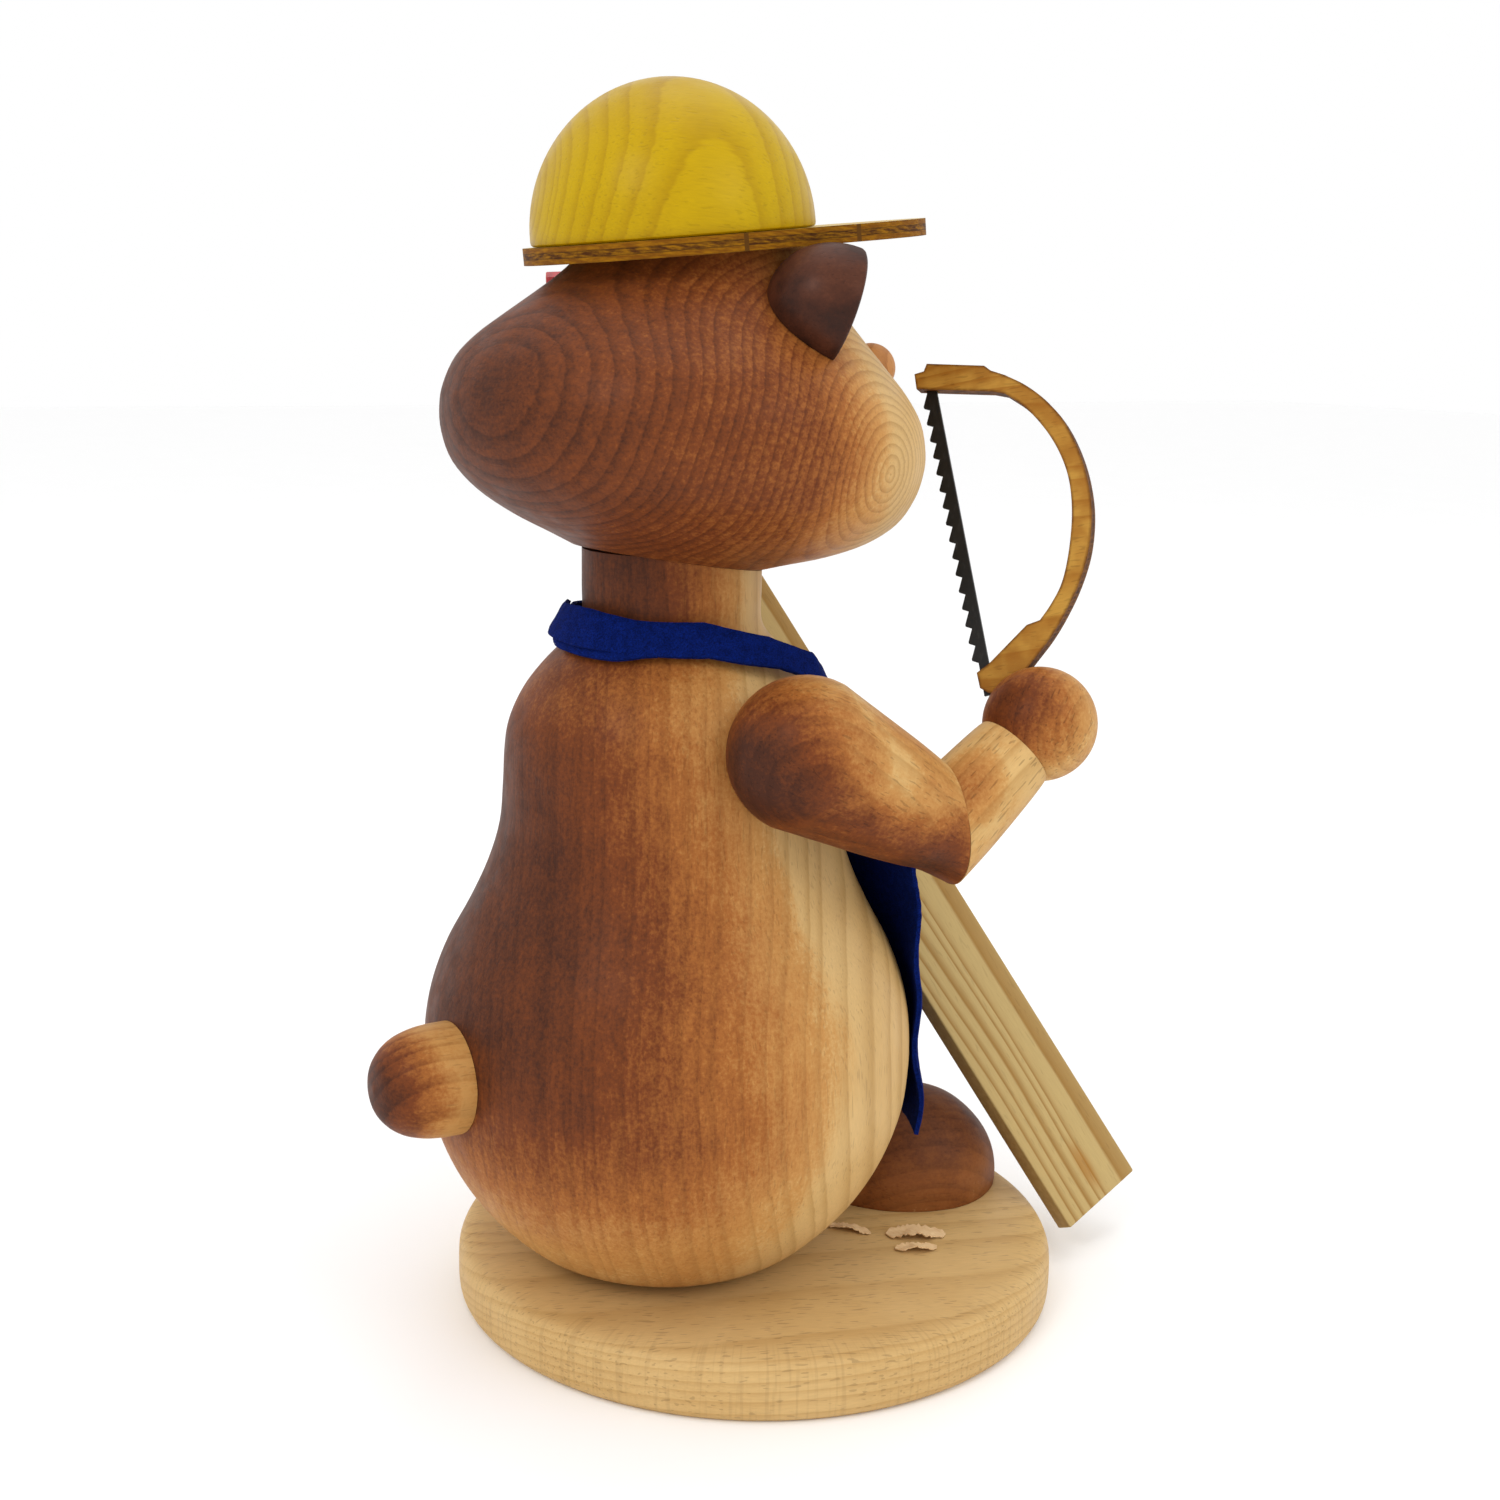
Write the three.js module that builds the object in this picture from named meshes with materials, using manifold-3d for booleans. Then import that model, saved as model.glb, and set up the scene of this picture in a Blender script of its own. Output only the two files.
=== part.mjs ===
// Incense smoker: a turned wooden bear dressed as a carpenter, seated on a round base.
// Millimetres, +Z up. The origin is the centre of the base's underside.
// The bear faces -Y, its right side is -X and its left side is +X.
import * as THREE from "three";
import { mergeVertices } from "three/addons/utils/BufferGeometryUtils.js";
import Module from "manifold-3d";

const wasm = await Module();
wasm.setup();

// ---------------------------------------------------------------- driving dimensions
const GAP = 0.3;                 // glue line left between touching pieces
const BASE_R = 59.8;             // base disc radius
const BASE_T = 12.0;             // base disc thickness
const SEAT_Y = 20.3;             // the body's axis stands behind the base's centre
const BOSS_R = 16.8;             // wooden boss the hollow body drops over
const BOSS_H = 7.0;
const PLATE_R = 12.5;            // metal dish that carries the incense cone
const BORE_R = 17.6;             // smoke chamber radius
const CHAMBER_H = 72.0;          // height of the chamber's straight wall
const FLUE_R = 4.0;              // smoke channel through neck and head
const MOUTH_R = 3.2;             // mouth hole in the muzzle
const NECK_R = 16.7;
const NECK_TOP = 137.0;          // above the base's top, before the head trims it
const HEAD_AT = new THREE.Vector3(0, 18.0, 170.8);
const HEAD_PITCH = 8.3;          // the head nods forward, degrees
const HAT_AT = new THREE.Vector3(0, 20.7, 203.4);
const HAT_PITCH = -5.9;          // the helmet is tipped back, degrees
const BRIM_R = 26.8;             // rear radius of the helmet's brim
const BRIM_REACH = 22.5;         // how far the peak's centre stands forward
const PLY_T = 3.0;               // plywood thickness of brim and saw frame
const DOME_R = 25.6;
const DOME_H = 27.3;
const EAR_R = 10.9;
const EAR_DEPTH = 12.6;
const NOSE_R = 4.8;
const TAIL_R = 10.4;
const TAIL_LEN = 13.8;
const FOOT_R = 17.8;             // widest half-width of a foot
const HAND_R = 10.6;
const ARM_SHOULDER_R = 14.0;
const ARM_ELBOW_R = 9.1;
const WRIST_R = 7.5;
const FELT_T = 1.3;              // felt thickness
const PLANK = { length: 180, width: 21.0, thick: 4.5 };
const PENCIL = { length: 53, width: 4.6, thick: 3.3 };
const BLADE_T = 0.7;
const TEETH = 16;

// Outer profile of the pear-shaped body: radius and height above the base's top.
const BODY_PROFILE = [
  [22.3, 0], [25.0, 1.2], [29.0, 3.6], [33.7, 8], [38.0, 13], [41.5, 18.5], [44.2, 24.5],
  [46.1, 31], [46.8, 37.5], [46.9, 42], [46.5, 48], [45.1, 54.5], [42.4, 61.5], [38.3, 69],
  [34.6, 77], [32.2, 85], [31.5, 93], [31.2, 99], [30.6, 103.5], [29.2, 107.5], [27.0, 111.5],
  [24.0, 115.3], [20.8, 118.6], [18.0, 121.4], [NECK_R, 124.4],
];

// Outer profile of the head, from its flat underside to its crown, about its own centre.
const HEAD_PROFILE = [
  [17.6, -23.4], [21.8, -21.9], [29.2, -19.3], [36.0, -15.9], [41.0, -11.6], [43.6, -6.6],
  [44.5, -2.0], [44.3, 2.0], [42.7, 7.0], [39.5, 11.4], [35.2, 15.6], [30.7, 19.8],
  [26.8, 23.6], [23.8, 27.2], [21.8, 31.0], [20.4, 36.0],
];

// Joints of the arms, in the part's frame.
const RIGHT_ARM = {
  shoulder: new THREE.Vector3(-37.3, 13.2, 116.6),
  elbow: new THREE.Vector3(-39.9, -15.0, 101.3),
  hand: new THREE.Vector3(-40.6, -35.3, 118.6),
};
const LEFT_ARM = {
  shoulder: new THREE.Vector3(37.3, 13.2, 116.6),
  elbow: new THREE.Vector3(47.7, -10.0, 93.3),
  hand: new THREE.Vector3(28.8, -29.8, 91.2),
};

// ---------------------------------------------------------------- small helpers
const rad = THREE.MathUtils.degToRad;
const v2 = (x, y) => new THREE.Vector2(x, y);
const v3 = (x, y, z) => new THREE.Vector3(x, y, z);

function material(color, roughness, metalness = 0) {
  return new THREE.MeshStandardMaterial({ color, roughness, metalness });
}

const BEECH = () => material(0xd2ab72, 0.55);
const STAINED = () => material(0x80482a, 0.5);
const DARK_STAIN = () => material(0x4e2618, 0.5);
const YELLOW_STAIN = () => material(0xc8a812, 0.45);
const PLYWOOD = () => material(0xa87426, 0.6);
const PINE = () => material(0xcfae66, 0.6);
const FELT = () => material(0x101c78, 0.95);
const BRASS = () => material(0xb08d3c, 0.35, 1);
const BLACK_STEEL = () => material(0x1a1a18, 0.5, 0.3);
const RED_PAINT = () => material(0xbe3238, 0.5);

// Keeps only position, joins equal corners and drops collapsed triangles.
function weld(geometry) {
  const bare = new THREE.BufferGeometry();
  bare.setAttribute("position", geometry.getAttribute("position").clone());
  if (geometry.index) bare.setIndex(geometry.index.clone());
  const merged = mergeVertices(bare, 1e-4);
  const index = [];
  const old = merged.index.array;
  for (let i = 0; i < old.length; i += 3) {
    const [a, b, c] = [old[i], old[i + 1], old[i + 2]];
    if (a !== b && b !== c && c !== a) index.push(a, b, c);
  }
  merged.setIndex(index);
  return merged;
}

function signedVolume(geometry) {
  const p = geometry.getAttribute("position");
  const index = geometry.index.array;
  let sum = 0;
  for (let i = 0; i < index.length; i += 3) {
    const a = v3().fromBufferAttribute(p, index[i]);
    const b = v3().fromBufferAttribute(p, index[i + 1]);
    const c = v3().fromBufferAttribute(p, index[i + 2]);
    sum += a.dot(b.cross(c)) / 6;
  }
  return sum;
}

// A welded, closed geometry whose faces point outwards.
function solid(geometry) {
  const out = weld(geometry);
  if (signedVolume(out) < 0) {
    const index = out.index.array;
    for (let i = 0; i < index.length; i += 3) {
      [index[i + 1], index[i + 2]] = [index[i + 2], index[i + 1]];
    }
  }
  return out;
}

function toManifold(geometry) {
  const clean = solid(geometry);
  return new wasm.Manifold(new wasm.Mesh({
    numProp: 3,
    vertProperties: new Float32Array(clean.getAttribute("position").array),
    triVerts: new Uint32Array(clean.index.array),
  }));
}

function toGeometry(body) {
  const mesh = body.getMesh();
  const geometry = new THREE.BufferGeometry();
  geometry.setAttribute("position", new THREE.BufferAttribute(mesh.vertProperties, 3));
  geometry.setIndex(new THREE.BufferAttribute(mesh.triVerts, 1));
  return geometry;
}

const subtract = (a, b) => toGeometry(toManifold(a).subtract(toManifold(b)));
const unite = (a, b) => toGeometry(toManifold(a).add(toManifold(b)));

// Revolves [radius, height] pairs about Z. The profile is closed onto the axis at both ends.
function turn(pairs, segments = 36) {
  const points = pairs.map(([r, z]) => v2(r, z));
  if (points[0].x > 0) points.unshift(v2(0, points[0].y));
  if (points.at(-1).x > 0) points.push(v2(0, points.at(-1).y));
  return new THREE.LatheGeometry(points, segments).rotateX(Math.PI / 2);
}

// A profile moved outwards along its own normals.
function grown(pairs, by) {
  return pairs.map(([r, z], i) => {
    const a = pairs[Math.max(i - 1, 0)];
    const b = pairs[Math.min(i + 1, pairs.length - 1)];
    const along = v2(b[0] - a[0], b[1] - a[1]).normalize();
    return [r + along.y * by, z - along.x * by];
  });
}

function box(x, y, z) {
  return new THREE.BoxGeometry(x, y, z);
}

// A box whose corners are moved by a rule: used for felt and shavings.
function bent(x, y, z, nx, ny, nz, rule) {
  const geometry = weld(new THREE.BoxGeometry(x, y, z, nx, ny, nz));
  const p = geometry.getAttribute("position");
  for (let i = 0; i < p.count; i += 1) {
    const to = rule(p.getX(i), p.getY(i), p.getZ(i));
    p.setXYZ(i, to.x, to.y, to.z);
  }
  return geometry;
}

// A flat outline given thickness, centred on its own plane.
function plate(shape, thickness, curveSegments = 10) {
  const options = { depth: thickness, bevelEnabled: false, curveSegments };
  return new THREE.ExtrudeGeometry(shape, options).translate(0, 0, -thickness / 2);
}

const root = new THREE.Group();

function group(parent, at = v3(0, 0, 0)) {
  const g = new THREE.Group();
  g.position.copy(at);
  parent.add(g);
  return g;
}

function piece(parent, name, geometry, finish, at = v3(0, 0, 0)) {
  const mesh = new THREE.Mesh(geometry, finish);
  mesh.name = name;
  mesh.position.copy(at);
  parent.add(mesh);
  return mesh;
}

// Cuts a shape given in one object's frame out of a mesh that stands in another.
function carve(mesh, cutter, frame) {
  root.updateMatrixWorld(true);
  const toMesh = mesh.matrixWorld.clone().invert().multiply(frame.matrixWorld);
  mesh.geometry = subtract(mesh.geometry, cutter.clone().applyMatrix4(toMesh));
}

// Turns an object so that its local +Z points along a direction.
function aim(object, direction) {
  object.quaternion.setFromUnitVectors(v3(0, 0, 1), direction.clone().normalize());
}

// ---------------------------------------------------------------- base
const base = group(root);

function baseDisc() {
  const rim = [
    [BASE_R - 1.5, 0], [BASE_R - 0.4, 1.0], [BASE_R, 2.8], [BASE_R, 7.4], [BASE_R - 0.3, 9.2],
    [BASE_R - 1.2, 10.7], [BASE_R - 2.8, 11.5], [BASE_R - 7.4, BASE_T],
  ];
  return turn(rim, 44);
}

function boss() {
  const profile = [[BOSS_R, 0], [BOSS_R, BOSS_H - 1], [BOSS_R - 1, BOSS_H]];
  const nailHole = new THREE.CylinderGeometry(1.1, 1.1, 8, 12).rotateX(Math.PI / 2);
  return subtract(turn(profile), nailHole.translate(0, 0, BOSS_H));
}

function conePlate() {
  const dish = turn([
    [PLATE_R - 1.5, 0], [PLATE_R, 2.6], [PLATE_R - 0.9, 2.6], [PLATE_R - 2.2, 0.9],
  ], 32);
  const hole = new THREE.CylinderGeometry(1.1, 1.1, 6, 12).rotateX(Math.PI / 2);
  return subtract(dish, hole);
}

function plateNail() {
  return turn([[0.8, -3.4], [0.8, 1.3], [2.0, 1.3], [1.6, 2.0]], 12);
}

// Half an egg sawn lengthwise: toe at +X, flat side down.
function foot() {
  const k = FOOT_R / 19;
  const egg = [
    [0, -23.4], [4.4, -22.7], [8.8, -20.6], [13.0, -16.8], [16.6, -11.4], [18.5, -5.6], [19, 0],
    [18.4, 5], [16.0, 10.2], [11.6, 15], [6.4, 18.2], [0, 19.5],
  ].map(([r, s]) => [r * k, s * k]);
  const whole = turn(egg, 28).rotateY(Math.PI / 2);
  return subtract(whole, box(80, 80, 40).translate(0, 0, -22));
}

// A curled ribbon of wood lying on the base.
function shaving(length, width, lift, twist) {
  return bent(length, width, 0.5, 8, 1, 1, (x, y, z) => {
    const t = x / length;
    const wave = Math.sin((t + 0.5) * Math.PI) * lift;
    return v3(x + wave * 0.3, y + twist * t * t * 6, z + wave + 0.12 * lift * (1 + y / width));
  });
}

piece(base, "base_disc", baseDisc(), BEECH());
piece(base, "burner_boss", boss(), BEECH(), v3(0, SEAT_Y, BASE_T + GAP));
const PLATE_Z = BASE_T + GAP + BOSS_H + GAP;
piece(base, "burner_plate", conePlate(), BRASS(), v3(0, SEAT_Y, PLATE_Z));
piece(base, "plate_nail", plateNail(), BRASS(), v3(0, SEAT_Y, PLATE_Z + 0.2));

const FOOT_Z = BASE_T + GAP + 2;
const rightFoot = piece(base, "foot_right", foot(), DARK_STAIN(), v3(1.0, -38.8, FOOT_Z));
rightFoot.rotation.z = rad(-105);
const leftFoot = piece(base, "foot_left", foot(), DARK_STAIN(), v3(35.0, -20.0, FOOT_Z));
leftFoot.rotation.z = rad(-42);

const SHAVING_Z = BASE_T + 0.7;
const curls = [
  ["shaving_1", 12, 5.0, 1.6, 0.4, -23.0, -24.0, 62],
  ["shaving_2", 8, 2.4, 0.9, -0.4, -15.0, -13.6, 40],
  ["shaving_3", 8, 3.0, 1.2, 0.4, -28.6, -20.4, 70],
];
for (const [name, length, width, lift, twist, x, y, angle] of curls) {
  const curl = shaving(length, width, lift, twist);
  piece(base, name, curl, BEECH(), v3(x, y, SHAVING_Z)).rotation.z = rad(angle);
}

// ---------------------------------------------------------------- body and neck
const figure = group(root, v3(0, SEAT_Y, BASE_T + GAP));

function bodyShell() {
  const outer = turn([...BODY_PROFILE, [NECK_R, NECK_TOP]], 40);
  const chamber = turn([
    [BORE_R, -5], [BORE_R, CHAMBER_H], [BORE_R - 3, CHAMBER_H + 7], [FLUE_R, CHAMBER_H + 14],
    [FLUE_R, NECK_TOP + 5],
  ], 24);
  return subtract(outer, chamber);
}

const bodyOffset = (by) => turn([...grown(BODY_PROFILE, by), [NECK_R + by, NECK_TOP + 2]], 40);
const body = piece(figure, "body", bodyShell(), STAINED());

// The left heel is relieved where it tucks under the belly.
carve(leftFoot, bodyOffset(2 * GAP), figure);

// A turned bullet with a flat end, glued to the back of the belly.
function tail() {
  const shape = [
    [TAIL_R, -8], [TAIL_R, 0], [10.3, 2.6], [9.9, 5.4], [8.9, 8.5], [7.1, 11.1], [4.4, 13.0],
    [0, TAIL_LEN],
  ];
  return turn(shape, 24);
}
const tailMesh = piece(figure, "tail", tail(), STAINED(), v3(-2.9, 47.5, 42.3));
aim(tailMesh, v3(-0.061, 1, 0.03));
carve(tailMesh, bodyOffset(GAP), figure);

// ---------------------------------------------------------------- head
const head = group(root, HEAD_AT);
head.rotation.x = rad(HEAD_PITCH);

function smokeChannel() {
  const rise = new THREE.CylinderGeometry(FLUE_R, FLUE_R, 30, 20).rotateX(Math.PI / 2);
  const mouth = new THREE.CylinderGeometry(MOUTH_R, MOUTH_R, 50, 20);
  return unite(rise.translate(0, 2, -15), mouth.translate(0, -24, -3));
}

const headMesh = piece(head, "head", subtract(turn(HEAD_PROFILE, 40), smokeChannel()), BEECH());
const headOffset = (by) => turn(grown(HEAD_PROFILE, by), 40);
carve(body, headOffset(GAP), head);

function nose() {
  return new THREE.SphereGeometry(NOSE_R, 16, 10).rotateX(Math.PI / 2);
}
const NOSE_AT = v3(0, -38.3, 16.9);
piece(head, "nose", nose(), BEECH(), NOSE_AT);
const noseSeat = new THREE.SphereGeometry(NOSE_R + GAP, 16, 10).rotateX(Math.PI / 2);
carve(headMesh, noseSeat.translate(NOSE_AT.x, NOSE_AT.y, NOSE_AT.z), head);

// Half an egg: flat disc at z = 0, round back towards -Z.
function ear() {
  const steps = 6;
  const profile = [[0, -EAR_DEPTH]];
  for (let i = 1; i <= steps; i += 1) {
    const t = (i / steps) * (Math.PI / 2);
    profile.push([EAR_R * Math.sin(t), -EAR_DEPTH * Math.cos(t)]);
  }
  profile.push([EAR_R, 0.4], [EAR_R - 0.6, 1.0]);
  return turn(profile, 24);
}

function placeEar(name, side) {
  const mesh = piece(root, name, ear(), DARK_STAIN(), v3(side * 30.4, 4.6, 192.7));
  aim(mesh, v3(side * 0.301, -0.899, -0.314));
  carve(mesh, headOffset(GAP), head);
  return mesh;
}
const rightEar = placeEar("ear_right", -1);
const leftEar = placeEar("ear_left", 1);

// ---------------------------------------------------------------- helmet
const hat = group(root, HAT_AT);
hat.rotation.x = rad(HAT_PITCH);

function brimShape(r, front) {
  const shape = new THREE.Shape();
  shape.absarc(0, 0, r, 0, Math.PI, false);
  shape.lineTo(-r, -BRIM_REACH);
  shape.absarc(0, -BRIM_REACH, front, Math.PI, Math.PI * 2, false);
  shape.lineTo(r, 0);
  return shape;
}

function dome() {
  const steps = 8;
  const profile = [];
  for (let i = 0; i <= steps; i += 1) {
    const t = (i / steps) * (Math.PI / 2);
    profile.push([DOME_R * Math.cos(t), DOME_H * Math.sin(t)]);
  }
  profile.at(-1)[0] = 0;
  return turn(profile, 36);
}

piece(hat, "helmet_brim", plate(brimShape(BRIM_R, BRIM_R), PLY_T, 18), YELLOW_STAIN());
piece(hat, "helmet_dome", dome(), YELLOW_STAIN(), v3(0, -0.3, PLY_T / 2 + GAP));

// Everything above the brim's underside is cleared from the head and the ears.
const aboveBrim = box(160, 160, 60).translate(0, 0, 30 - PLY_T / 2 - GAP);
carve(headMesh, aboveBrim, hat);
const brimKeepOut = plate(brimShape(BRIM_R + GAP, BRIM_R + GAP), PLY_T + 2 * GAP, 18);
carve(rightEar, brimKeepOut, hat);
carve(leftEar, brimKeepOut, hat);

// ---------------------------------------------------------------- pencil behind the left ear
function pencilShape(by) {
  const w = PENCIL.width / 2 + by;
  const t = PENCIL.thick / 2 + by;
  const c = 1.1;
  return new THREE.Shape([
    v2(-w, -t + c), v2(-w + c, -t), v2(w - c, -t), v2(w, -t + c),
    v2(w, t - c), v2(w - c, t), v2(-w + c, t), v2(-w, t - c),
  ]);
}

const pencilFrame = group(root, v3(38.1, 28.3, 197.4));
pencilFrame.lookAt(v3(12.7, -18.1, 200.0));
const pencil = plate(pencilShape(0), PENCIL.length).translate(0, 0, PENCIL.length / 2);
pencil.rotateZ(rad(90));
const pencilRoom = plate(pencilShape(GAP), PENCIL.length + 2 * GAP);
pencilRoom.translate(0, 0, PENCIL.length / 2).rotateZ(rad(90));
piece(pencilFrame, "pencil", pencil, RED_PAINT());
carve(leftEar, pencilRoom, pencilFrame);
carve(headMesh, pencilRoom, pencilFrame);

// ---------------------------------------------------------------- arms
function upperArm(length) {
  const profile = [];
  for (let i = 0; i <= 4; i += 1) {
    const t = (i / 4) * (Math.PI / 2);
    profile.push([ARM_SHOULDER_R * Math.sin(t), -ARM_SHOULDER_R * Math.cos(t)]);
  }
  profile.push([13.3, 5], [12.5, 11], [11.4, 19], [10.2, 26], [ARM_ELBOW_R, length]);
  profile.push([ARM_ELBOW_R, length + 14]);
  return turn(profile, 28);
}

function forearm(length) {
  return turn([
    [ARM_ELBOW_R, -14], [ARM_ELBOW_R, 0], [8.7, length * 0.35], [8.1, length * 0.65],
    [WRIST_R, length - 6.2], [WRIST_R - 1.0, length - 5.0],
  ], 28);
}

// The mitre plane stands at the elbow and halves the bend.
function mitreCutter(joints, side) {
  const into = joints.elbow.clone().sub(joints.shoulder).normalize();
  const out = joints.hand.clone().sub(joints.elbow).normalize();
  const holder = new THREE.Group();
  root.add(holder);
  holder.position.copy(joints.elbow);
  aim(holder, into.add(out));
  return [box(90, 90, 60).translate(0, 0, side * (30 - GAP / 2)), holder];
}

function arm(name, joints) {
  const into = joints.elbow.clone().sub(joints.shoulder);
  const out = joints.hand.clone().sub(joints.elbow);
  const upperName = `upper_arm_${name}`;
  const upper = piece(root, upperName, upperArm(into.length()), STAINED(), joints.shoulder);
  aim(upper, into);
  const fore = piece(root, `forearm_${name}`, forearm(out.length()), BEECH(), joints.elbow);
  aim(fore, out);
  const hand = new THREE.SphereGeometry(HAND_R, 24, 14).rotateX(Math.PI / 2);
  const handMesh = piece(root, `hand_${name}`, hand, STAINED(), joints.hand);
  const [beyond, planeA] = mitreCutter(joints, 1);
  carve(upper, beyond, planeA);
  const [before, planeB] = mitreCutter(joints, -1);
  carve(fore, before, planeB);
  root.remove(planeA, planeB);
  carve(upper, bodyOffset(GAP), figure);
  carve(fore, new THREE.SphereGeometry(HAND_R + GAP, 24, 14).rotateX(Math.PI / 2), handMesh);
  return handMesh;
}
const rightHand = arm("right", RIGHT_ARM);
const leftHand = arm("left", LEFT_ARM);

// ---------------------------------------------------------------- bow saw in the right hand
const saw = group(root, v3(-41.0, -36.1, 119.7));
saw.setRotationFromMatrix(new THREE.Matrix4().makeBasis(
  v3(-0.8065, -0.5913, 0),
  v3(0.167, -0.2277, 0.9593),
  v3(-0.5672, 0.7736, 0.2824),
));

function sawOutline() {
  const shape = new THREE.Shape();
  shape.moveTo(-32.6, 60.6);
  shape.lineTo(-33.4, 63.5);
  shape.lineTo(-31.6, 64.1);
  shape.lineTo(-31.2, 65.6);
  shape.lineTo(-19.7, 65.5);
  shape.lineTo(-18.3, 64.6);
  shape.lineTo(-15.4, 63.8);
  shape.splineThru([
    v2(-11.0, 61.9), v2(-6.5, 58.9), v2(-2.7, 55.0), v2(0.4, 50.2), v2(2.8, 44.8),
    v2(4.4, 38.5), v2(4.7, 31.5), v2(3.6, 25.1), v2(1.7, 19.4), v2(-0.5, 14.6), v2(-3.0, 10.5),
  ]);
  shape.lineTo(-7.6, 2.9);
  shape.lineTo(-11.0, 3.6);
  shape.lineTo(-12.6, 4.3);
  shape.lineTo(-13.6, 7.1);
  shape.lineTo(-11.4, 9.1);
  shape.lineTo(-5.2, 16.8);
  shape.lineTo(-2.8, 17.9);
  shape.splineThru([
    v2(-1.1, 21.0), v2(0.4, 25.0), v2(1.0, 30.5), v2(0.8, 37.5), v2(-0.4, 43.7), v2(-2.6, 48.7),
    v2(-6.0, 53.4), v2(-10.5, 57.6), v2(-14.9, 60.2),
  ]);
  shape.lineTo(-17.6, 60.6);
  shape.closePath();
  return shape;
}

// The blade's back runs from its top corner to its tip, which shows under the lower grip.
const BLADE_TOP = v2(-30.0, 63.8);
const BLADE_END = v2(-10.0, 3.6);
const FIRST_TOOTH = 3.3;
const LAST_TOOTH = 57.0;

function bladeOutline() {
  const along = BLADE_END.clone().sub(BLADE_TOP);
  const length = along.length();
  along.divideScalar(length);
  const across = v2(-along.y, along.x);
  const at = (s, w) => BLADE_TOP.clone().addScaledVector(along, s).addScaledVector(across, w);
  const points = [at(0, 0), at(length, 0), at(length, -2.0)];
  const pitch = (LAST_TOOTH - FIRST_TOOTH) / TEETH;
  for (let i = TEETH; i > 0; i -= 1) {
    points.push(at(FIRST_TOOTH + i * pitch, -1.9));
    points.push(at(FIRST_TOOTH + (i - 0.25) * pitch, -3.1));
  }
  points.push(at(FIRST_TOOTH, -1.9), at(0, -2.0));
  return new THREE.Shape(points);
}

function slot(centre, angle, length, thick) {
  return box(3.0, length, thick).rotateZ(angle).translate(centre.x, centre.y, 0);
}

const bladeTilt = Math.atan2(BLADE_END.x - BLADE_TOP.x, BLADE_TOP.y - BLADE_END.y);
const sawFrame = piece(saw, "saw_frame", plate(sawOutline(), PLY_T, 6), PLYWOOD());
piece(saw, "saw_blade", plate(bladeOutline(), BLADE_T), BLACK_STEEL());
const slotT = BLADE_T + 2 * GAP;
carve(sawFrame, slot(v2(-30.1, 61.0), bladeTilt, 6.4, slotT), saw);
carve(sawFrame, slot(v2(-12.6, 7.9), bladeTilt, 14, slotT), saw);

// The saw's lower grip sits in a slot across the top of the hand.
const gripRoom = box(26, 26, PLY_T + 2 * GAP).rotateZ(rad(45)).translate(-12.3, 16.0, 0);
carve(rightHand, gripRoom, saw);

// ---------------------------------------------------------------- plank in the left arm
const plankAlong = v3(0.405, 0.394, 0.824).normalize();
const plankNormal = v3(-0.9, 0.018, 0.434).normalize();
const plankAcross = plankAlong.clone().cross(plankNormal).normalize();
const plankFrame = group(root, v3(-24.9, -70.6, 10.5));
plankFrame.setRotationFromMatrix(
  new THREE.Matrix4().makeBasis(plankAcross, plankAlong, plankNormal),
);

function plankBox(by) {
  const board = box(PLANK.width + 2 * by, PLANK.length + 2 * by, PLANK.thick + 2 * by);
  return board.translate(0, PLANK.length / 2, -PLANK.thick / 2);
}
piece(plankFrame, "plank", plankBox(0), PINE());
carve(leftHand, plankBox(GAP), plankFrame);

// ---------------------------------------------------------------- felt apron
// The sheet hangs from the chest, rests on the belly and ends above the feet.
const APRON_TOP = 110.0;
const APRON_BOTTOM = 24.3;
const BIB_HALF = 16.2;
const SKIRT_HALF = 29.0;

// Linear interpolation in rows of [position, value, value...].
function track(rows, at) {
  let i = 1;
  while (i < rows.length - 1 && at > rows[i][0]) i += 1;
  const [low, high] = [rows[i - 1], rows[i]];
  const t = THREE.MathUtils.clamp((at - low[0]) / (high[0] - low[0]), 0, 1);
  return low.slice(1).map((value, k) => THREE.MathUtils.lerp(value, high[k + 1], t));
}

// Distance of the sheet's middle in front of the body's axis, per height above the base.
const APRON_REACH = [
  [24.3, 46.0], [27, 46.4], [33, 47.7], [39, 48.2], [46, 48.0], [54, 46.5], [62, 43.6],
  [72, 39.6], [84, 36.0], [96, 33.4], [104, 31.6], [110, 29.8],
];

function apron() {
  const height = APRON_TOP - APRON_BOTTOM;
  return bent(2, FELT_T, height, 10, 1, 18, (x, y, z) => {
    const up = z + (APRON_TOP + APRON_BOTTOM) / 2;
    const bib = THREE.MathUtils.smoothstep(up, 78, 100);
    const across = x * THREE.MathUtils.lerp(SKIRT_HALF, BIB_HALF, bib);
    const front = track(APRON_REACH, up)[0] + 0.9;
    const hang = x < 0 ? 40.6 - 0.041 * up : front - 8.5;   // the board keeps the left side back
    const side = THREE.MathUtils.lerp(hang, front - 1.6, bib);
    const wave = 0.6 * (1 - bib) * Math.cos((up - 31) * 0.322);
    return v3(across, -front + (front - side - wave) * x * x + y, up);
  });
}
const apronMesh = piece(figure, "apron", apron(), FELT());
carve(apronMesh, bodyOffset(GAP + 0.1), figure);

// The neck strap runs from one corner of the bib round the nape to the other.
// Rows: angle from the front, then radius and height of the lower and the upper edge.
const STRAP = [
  [30, 31.7, 104.0, 29.5, 110.6],
  [40, 30.4, 110.0, 28.0, 116.0],
  [50, 29.4, 113.8, 27.4, 119.3],
  [70, 26.4, 117.4, 23.3, 122.9],
  [100, 22.4, 119.9, 19.0, 125.4],
  [180, 21.3, 120.2, 17.9, 126.4],
];
const STRAP_START = 31;

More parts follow.
